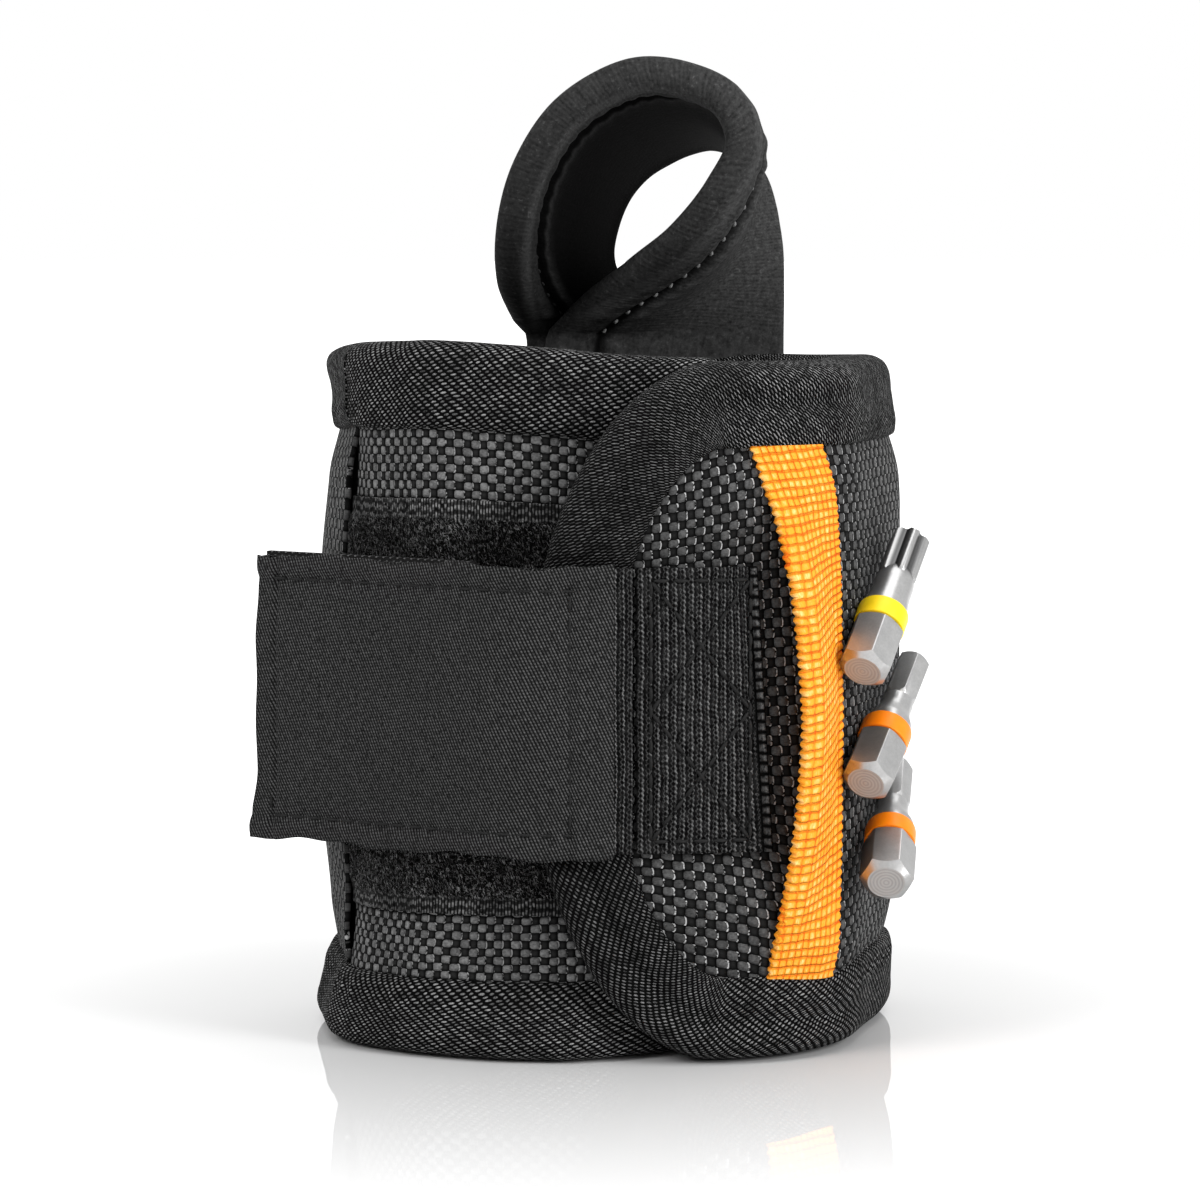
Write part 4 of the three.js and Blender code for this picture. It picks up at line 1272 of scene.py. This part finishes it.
# %% Stitches
def thread_material(name, level):
    cloth = Cloth(name, 0.6, specular=0.1)
    twist = cloth.noise(2200)
    cloth.colour(cloth.mix(twist, grey(level * 0.3), grey(level)))
    cloth.bump(twist, 0.08)
    return cloth.material


thread = thread_material("black_thread", 0.02)
loop_thread = thread_material("loop_thread", 0.3)

deselect()
bpy.ops.mesh.primitive_uv_sphere_add(segments=8, ring_count=5, radius=1)
stitch_model = bpy.context.object
stitch_points = coords(stitch_model)
stitch_faces = [tuple(p.vertices) for p in stitch_model.data.polygons]
bpy.data.objects.remove(stitch_model)


def stitch_row(name, centres, alongs, outs, length, radius):
    """One mesh of stitches at centres, lying along alongs, with outs as their up side."""
    points, faces = [], []
    for centre, along, out in zip(centres, alongs, outs):
        along = along / np.linalg.norm(along)
        side = np.cross(out, along)
        side /= np.linalg.norm(side)
        up = np.cross(along, side)
        arch = radius * 0.9 * (1 - stitch_points[:, 2] ** 2)
        bead = (centre + np.outer(stitch_points[:, 2] * length * 0.46, along)
                + np.outer(stitch_points[:, 0] * radius, side)
                + np.outer(stitch_points[:, 1] * radius + arch - radius * 0.5, up))
        faces += [tuple(len(points) + v for v in face) for face in stitch_faces]
        points.extend(bead)
    mesh = bpy.data.meshes.new(name)
    mesh.from_pydata([tuple(p * MM) for p in points], [], faces)
    return add_object(name, mesh)

# %% Rows of stitches
def band_spots(route, lines, out_at, step):
    """Stitch centres along lines of reach and height on a route."""
    def lie(points, lift=0):
        reach, height = points.T
        return route.spots(reach, out_at(reach, height) + lift, height)

    centres, alongs, outs = [], [], []
    for line in lines:
        line = resample(np.array(line, float), step)
        middle = (line[1:] + line[:-1]) / 2
        centre = lie(middle)
        centres.extend(centre)
        alongs.extend(lie(line[1:]) - lie(line[:-1]))
        outs.extend(lie(middle, 1) - centre)
    return centres, alongs, outs


box_stitches = stitch_row("box_stitches", *band_spots(
    band, box_lines(), lambda r, h: np.full_like(r, 1.42), 2.2), 2.2, 0.26)
finish_piece(box_stitches, thread, "tongue")

patch_edges = []
for edge_height in (PATCH_LOW + PATCH_BORDER, PATCH_HIGH - PATCH_BORDER):
    patch_edges.append([(PATCH_START + 4.6, edge_height), (PATCH_END - 3.6, edge_height)])
for edge_reach in PATCH_FOLDS:
    patch_edges.append([(edge_reach, STRAP_LOW + 3), (edge_reach, STRAP_HIGH - 3)])

patch_stitches = stitch_row("patch_stitches", *band_spots(
    strap, patch_edges, lambda r, h: 1.98 + patch_relief(r, h) * 0.5, 2.6), 2.5, 0.2)
finish_piece(patch_stitches, thread, "strap")


def seam_on_loop(side):
    """Stitches of the hem's seam, on the outer side (-1) or the inner side (1)."""
    near, across, normal, _, run, share, seam = loop_frame()
    swell = loop_swell(seam, share, seam)
    level = side * (LOOP_FLAT - 0.35) - (swell if side < 0 else 0.6 * swell)
    line = near + across * seam[:, None] + normal * level[:, None] + (*SHIFT, 0)
    places = np.arange(2, run[-1] - 6, 1.9)
    centres = walk(places, run, line)
    return centres, walk(places + 0.5, run, line) - centres, walk(places, run, normal) * side


loop_stitches = stitch_row("loop_stitches", *seam_on_loop(-1), 1.0, 0.24)
finish_piece(loop_stitches, loop_thread, "thumb")
inner_stitches = stitch_row("loop_stitches_inside", *seam_on_loop(1), 1.0, 0.2)
finish_piece(inner_stitches, thread, "thumb")

# %% [markdown]
# ## Screwdriver bits
# The bits are turned and milled from hex bar. The shank keeps the six flats, with both
# ends chamfered in the lathe, so it is a hexagonal prism cut by a spun blank. The sleeve
# is a coloured ring in a groove, then come a collar, a waisted neck and the tip.

# %% Bit helpers
HEX_FLATS = 6.35
BIT_LENGTH = 25
HEX_LENGTH = 8
SLEEVE_LENGTH = 3
SLEEVE_RADIUS = 3.42
TIP_START = 16.5
BIT_STANDS_OFF = 3.75


def spun(name, profile, steps=64):
    """Turns a profile of radius and height round the Z axis."""
    mesh = bpy.data.meshes.new(name)
    edges = [(i, i + 1) for i in range(len(profile) - 1)]
    mesh.from_pydata([(r * MM, 0, y * MM) for r, y in profile], edges, [])
    obj = add_object(name, mesh)
    with editing(obj):
        bpy.ops.mesh.spin(steps=steps, angle=math.tau, center=(0, 0, 0), axis=(0, 0, 1))
        bpy.ops.mesh.select_all(action="SELECT")
        bpy.ops.mesh.remove_doubles(threshold=WELD / 10)
        bpy.ops.mesh.normals_make_consistent(inside=False)
    return obj


def prism(name, outline, low, high, bevel):
    """A prism on an outline in millimetres, with its long edges eased."""
    deselect()
    bpy.ops.mesh.primitive_circle_add(vertices=len(outline), radius=MM, fill_type="NGON")
    obj = bpy.context.object
    obj.name = name
    set_coords(obj, np.array([(x * MM, y * MM, low * MM) for x, y in outline]))
    with editing(obj):
        bpy.ops.mesh.extrude_region_move(
            TRANSFORM_OT_translate={"value": (0, 0, (high - low) * MM)})
        bpy.ops.mesh.select_all(action="SELECT")
        bpy.ops.mesh.normals_make_consistent(inside=False)
    if bevel:
        modifier = obj.modifiers.new("ease", "BEVEL")
        modifier.width = bevel * MM
        modifier.segments = 3
        modifier.limit_method = "ANGLE"
        modifier.angle_limit = math.radians(40)
        apply_modifiers(obj)
    return obj


def trim(obj, blank):
    """Keeps what of a prism lies inside a spun blank."""
    modifier = obj.modifiers.new("cut", "BOOLEAN")
    modifier.operation = "INTERSECT"
    modifier.object = blank
    modifier.solver = "EXACT"
    apply_modifiers(obj)
    bpy.data.objects.remove(blank)
    return obj


def join(name, *objects):
    deselect()
    for obj in objects:
        obj.select_set(True)
    bpy.context.view_layer.objects.active = objects[0]
    bpy.ops.object.join()
    objects[0].name = objects[0].data.name = name
    return objects[0]


def hexagon(flats):
    radius = flats / math.sqrt(3)
    return [(radius * math.cos(a), radius * math.sin(a)) for a in np.radians(np.arange(0, 360, 60))]


def star(radius, valley, lobes=6, points=72):
    """An outline of round lobes, with valleys at a share of its radius."""
    outline = []
    for angle in np.arange(points) * math.tau / points:
        reach = radius * (valley + (1 - valley) * (1 + math.cos(lobes * angle)) / 2)
        outline.append((reach * math.cos(angle), reach * math.sin(angle)))
    return outline

# %% [markdown]
# The steel is satin: its flats are even, the face that the lathe turned has faint rings,
# and the flutes of the star tip are dark. The sleeves are coloured plastic.

# %% Bit materials
def steel_material(name, fluted):
    """Satin steel. Its turned end face is duller than the flats, and its flutes are dark."""
    cloth = Cloth(name, 0.3, specular=0.5)
    radius, along = cloth.flat("lathe")
    face = (1 - along.ramp(0.02, 0.2)) * (1 - radius.ramp(2.3, 2.6))
    rings = (radius * (math.tau / 0.45)).wave()
    grain = cloth.noise(3000, 2.0, 0.6)
    cloud = cloth.noise(350)
    patchy_tone = (grain.ramp(0.2, 0.8) * 0.25 + cloud * 0.75).clamp()
    metal = cloth.mix(patchy_tone, grey(0.3), (0.52, 0.518, 0.514, 1))
    dull = cloth.mix(patchy_tone * 0.5 + rings * 0.5, grey(0.26), (0.46, 0.457, 0.452, 1))
    if fluted:
        flute = along.ramp(TIP_START - 0.4, TIP_START + 0.8)
        flute = flute * (1 - radius.ramp(2.15, 2.65) * 0.8)
        metal = cloth.mix(flute, metal, grey(0.09))
    cloth.colour(cloth.mix(face, metal, dull))
    cloth.feed("Metallic", 0.9 - face * 0.55)
    cloth.roughness(0.28 + grain * 0.06 + face * 0.15)
    cloth.bump(grain * 0.3 + rings * face * 0.6, 0.014)
    return cloth.material


def sleeve_material(name, dark, light):
    cloth = Cloth(name, 0.4, specular=0.3)
    speck = cloth.noise(700)
    cloth.colour(cloth.mix(speck, dark, light))
    cloth.bump(speck, 0.04)
    return cloth.material


steels = {
    "hex": steel_material("satin_steel", False),
    "star": steel_material("fluted_steel", True),
}
sleeves = {
    "yellow_sleeve": sleeve_material("yellow_sleeve", (0.86, 0.6, 0, 1), (1, 0.78, 0.02, 1)),
    "orange_sleeve": sleeve_material("orange_sleeve", (1, 0.2, 0, 1), (1, 0.29, 0.002, 1)),
}
print("steels", list(steels), "and", list(sleeves))

# %% Parts of a bit
def shank(name):
    """Hex bar chamfered in the lathe, with faint turned rings left on its end face."""
    across = HEX_FLATS / math.sqrt(3)
    body = prism(name + "_hex", hexagon(HEX_FLATS), 0, HEX_LENGTH, 0.12)
    rings = [(0, 0.01)]
    for k in range(1, 6):
        rings += [(k * 0.42 - 0.1, 0.012 - 0.006 * (k % 2)), (k * 0.42, 0.006 + 0.006 * (k % 2))]
    blank = spun(name + "_blank", rings + [
        (across - 1.2, 0.0), (across + 0.3, 1.25), (across + 0.3, HEX_LENGTH - 0.7),
        (across - 0.6, HEX_LENGTH - 0.02), (0, HEX_LENGTH - 0.02)], 96)
    return trim(body, blank)


def neck(name, kind):
    start = HEX_LENGTH - 0.4
    collar = HEX_LENGTH + SLEEVE_LENGTH
    tip = TIP_START
    collar_part = [(0, start), (2.75, start), (2.75, collar), (2.95, collar),
                   (3.08, collar + 0.12)]
    if kind == "star":
        waist = [(3.02, collar + 0.8), (2.82, collar + 2.0), (2.7, collar + 3.4),
                 (2.7, tip - 0.4), (2.64, tip + 0.3), (2.48, tip + 0.9), (2.24, tip + 1.5),
                 (1.9, tip + 2.0), (0, tip + 2.1)]
    else:
        waist = [(3.08, collar + 1.0), (2.9, collar + 1.6), (2.45, collar + 2.6),
                 (2.2, collar + 3.6), (2.12, tip - 1.0), (2.16, tip - 0.2), (2.0, tip + 0.5),
                 (0, tip + 0.6)]
    return spun(name + "_neck", collar_part + waist)


def tip_piece(name, kind):
    low = TIP_START - 0.8
    if kind == "star":
        outline, radius, bevel = star(2.78, 0.72), 2.78, 0
    else:
        outline, radius, bevel = hexagon(4.05), 4.05 / math.sqrt(3), 0.07
    blank = spun(name + "_tip_blank", [
        (0, low - 0.1), (radius * 0.72, low - 0.1), (radius + 0.1, low + 2.2),
        (radius + 0.1, BIT_LENGTH - 0.45), (radius - 0.36, BIT_LENGTH - 0.01),
        (0, BIT_LENGTH - 0.01)])
    return trim(prism(name + "_tip", outline, low, BIT_LENGTH, bevel), blank)


def sleeve_piece(name):
    low, high = HEX_LENGTH + 0.06, HEX_LENGTH + SLEEVE_LENGTH - 0.06
    r = SLEEVE_RADIUS
    return spun(name, [
        (2.7, low), (r - 0.15, low), (r - 0.03, low + 0.05), (r, low + 0.2), (r, high - 0.2),
        (r - 0.03, high - 0.05), (r - 0.15, high), (2.7, high), (2.7, low)])


def place_bit(obj, reach, height, tilt, lean):
    """Lays a bit, made upright from its hex end, on the cover, leant towards the band."""
    x0, y0 = band.at(reach, 0)
    x1, y1 = band.at(reach, 1)
    side = Vector((x1 - x0, y1 - y0, 0)).normalized()
    back = Vector((-side.y, side.x, 0))
    side, back = (side * math.cos(lean) + back * math.sin(lean),
                  back * math.cos(lean) - side * math.sin(lean))
    axis = back * math.cos(tilt) + Vector((0, 0, math.sin(tilt)))
    third = axis.cross(side)
    foot = Vector((x0 + SHIFT[0], y0 + SHIFT[1], height)) + side * BIT_STANDS_OFF
    start = (foot - axis * BIT_LENGTH / 2) * MM
    turn = Matrix((side, third, axis)).transposed().to_4x4()
    obj.data.transform(Matrix.Translation(start) @ turn)
    obj.data.update()

# %% The three bits
# degrees; faces of a bit that meet at less than this are shaded as one round face
BIT_SMOOTH_ANGLE = 26
BITS = [
    ("bit_top", "star", "yellow_sleeve", "top_bit", 40.4, 58.3, 39, 0),
    ("bit_middle", "hex", "orange_sleeve", "middle_bit", 42.0, 42.5, 33.5, 0),
    ("bit_bottom", "hex", "orange_sleeve", "bottom_bit", 42.3, 28.6, 29.5, 14),
]
for node, kind, sleeve, body, from_front, height, tilt, lean in BITS:
    metal = join(node + "_steel", shank(node), neck(node, kind), tip_piece(node, kind))
    ring = sleeve_piece(node + "_ring")
    turned = coords(metal) / MM
    set_uv(metal, np.hypot(turned[:, 0], turned[:, 1]), turned[:, 2], "lathe")
    for piece in (metal, ring):
        place_bit(piece, GIRTH - from_front, height, math.radians(tilt), math.radians(lean))
    finish_piece(metal, steels[kind], body, [node], BIT_SMOOTH_ANGLE)
    finish_piece(ring, sleeves[sleeve], body, [node + "_sleeve"], BIT_SMOOTH_ANGLE)

# %% [markdown]
# ## Magnets
# The discs lie in the foam and don't show. They keep their CAD shape and get plain
# nickel plating.

# %% Magnets
nickel = Cloth("nickel", 0.25, metallic=1.0)
nickel_cloud = nickel.noise(300)
nickel.colour(nickel.mix(nickel_cloud, (0.55, 0.56, 0.58, 1), (0.7, 0.71, 0.73, 1)))
magnets = [node for name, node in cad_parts.items() if name.startswith("magnet")]
for node in magnets:
    node.data.materials.clear()
    node.data.materials.append(nickel.material)
print(len(magnets), "magnets")

# %% [markdown]
# ## Table and light
# The photograph has a pure white ground with a soft shadow at both sides and a faint
# mirror image below. The floor is pale and slightly glossy, and the world is white to the
# camera but plain to the object.

# %% Floor and world
def background_rays(tree):
    """1 for what the camera and mirrors see directly, 0 for light that falls on things."""
    rays = tree.nodes.new("ShaderNodeLightPath")
    mirrored = Value(tree, rays.outputs["Is Glossy Ray"])
    return Value(tree, rays.outputs["Is Camera Ray"]).high(mirrored)


def floor_material():
    cloth = Cloth("pale_floor", 0.02, specular=0.55)
    speck = cloth.noise(12)
    cloth.colour(cloth.mix(speck, grey(0.76), grey(0.78)))
    # the lamps don't reach the far floor, so it turns to the white of the ground there
    away = cloth.value("ShaderNodeVectorMath", {"operation": "LENGTH"}, "Value",
                       Vector=cloth.place)
    lit = background_rays(cloth.tree) * (away.ramp(0.05, 0.2) * 0.6)
    cloth.feed("Emission Color", cloth.mix(lit, grey(0), grey(1)))
    cloth.shader.inputs["Emission Strength"].default_value = 1.0
    return cloth.material


WORLD_LIGHT = 0.42

deselect()
bpy.ops.mesh.primitive_plane_add(size=8, location=(0, 0, -0.0002))
floor = bpy.context.object
floor.name = "floor"
floor.data.materials.append(floor_material())

world = bpy.data.worlds.new("studio")
bpy.context.scene.world = world
world.use_nodes = True
world_tree = world.node_tree
background = world_tree.nodes["Background"]
strength = background_rays(world_tree) * (1 - WORLD_LIGHT) + WORLD_LIGHT
world_tree.links.new(strength.socket, background.inputs["Strength"])
background.inputs["Color"].default_value = (1, 1, 1, 1)

# %% Lamps
LAMP_AIM = Vector((0, 0, 0.05))


def lamp(name, place, size, power):
    data = bpy.data.lights.new(name, "AREA")
    data.shape = "RECTANGLE"
    data.size, data.size_y = size
    data.energy = power
    obj = add_object(name, data)
    obj.location = place
    obj.rotation_euler = (LAMP_AIM - Vector(place)).to_track_quat("-Z", "Y").to_euler()
    print(name, "lamp of", power, "W")


lamp("key", (-0.7, -0.55, 0.7), (0.45, 0.45), 5.5)
lamp("fill", (0.75, -0.5, 0.42), (0.3, 0.6), 8)
lamp("top", (0.0, 0.1, 1.1), (1.2, 1.2), 9)
bpy.context.scene.view_settings.view_transform = "Standard"

# %% [markdown]
# ## Cut sizes of the cloths
# Every sheet is listed with the flat size it is cut to, how it is held and what it rests on, and
# the shells also with their area; the numbers are only turned into metres.

# %% Sheets and padded pieces
def cut(piece, width, length, held, rests_on, area=None):
    width * MM
    length * MM
    None if area is None else area * MM * MM


shell_length = SHELL_END - CREASE
sheet_width = BAND_HEIGHT - 2 * EDGE_INSET
round_off = (1 - math.pi / 4) * sheet_width * TONGUE_ROUND
shell_area = sheet_width * shell_length - round_off
for shell in (cover_shell, lining_shell):
    cut(shell, sheet_width, shell_length, "stretched", ["foam_core"], shell_area)
for end_cloth in (cover_inner_end, lining_inner_end):
    cut(end_cloth, sheet_width, CREASE + OVERLAP - INNER_END, "stretched", ["foam_inner_end"])
strap_width = STRAP_HIGH - STRAP_LOW
cut(loop_panel, PANEL_HIGH - PANEL_LOW, PANEL_END - PANEL_START, "laid", ["cover_inner_end"])
cut(strap_elastic, strap_width, STRAP_LENGTH - 1.9, "stretched", ["strap_hooks"])
cut(hook_piece, strap_width + 0.1, 32.5, "laid", ["loop_pile_panel"])
cut(patch_piece, PATCH_HIGH - PATCH_LOW, PATCH_END - PATCH_START, "laid", ["strap_band"])
cut(root_cloth, strap_width, STRAP_ROOT_END - STRAP_ROOT_START, "laid", ["cover_shell"])
cut(ribbon_cloth, RIBBON_WIDTH, RIBBON_HIGH - RIBBON_LOW, "stretched", ["cover_shell"])
print("shell cut", round(sheet_width, 1), "by", round(shell_length, 1), "mm")
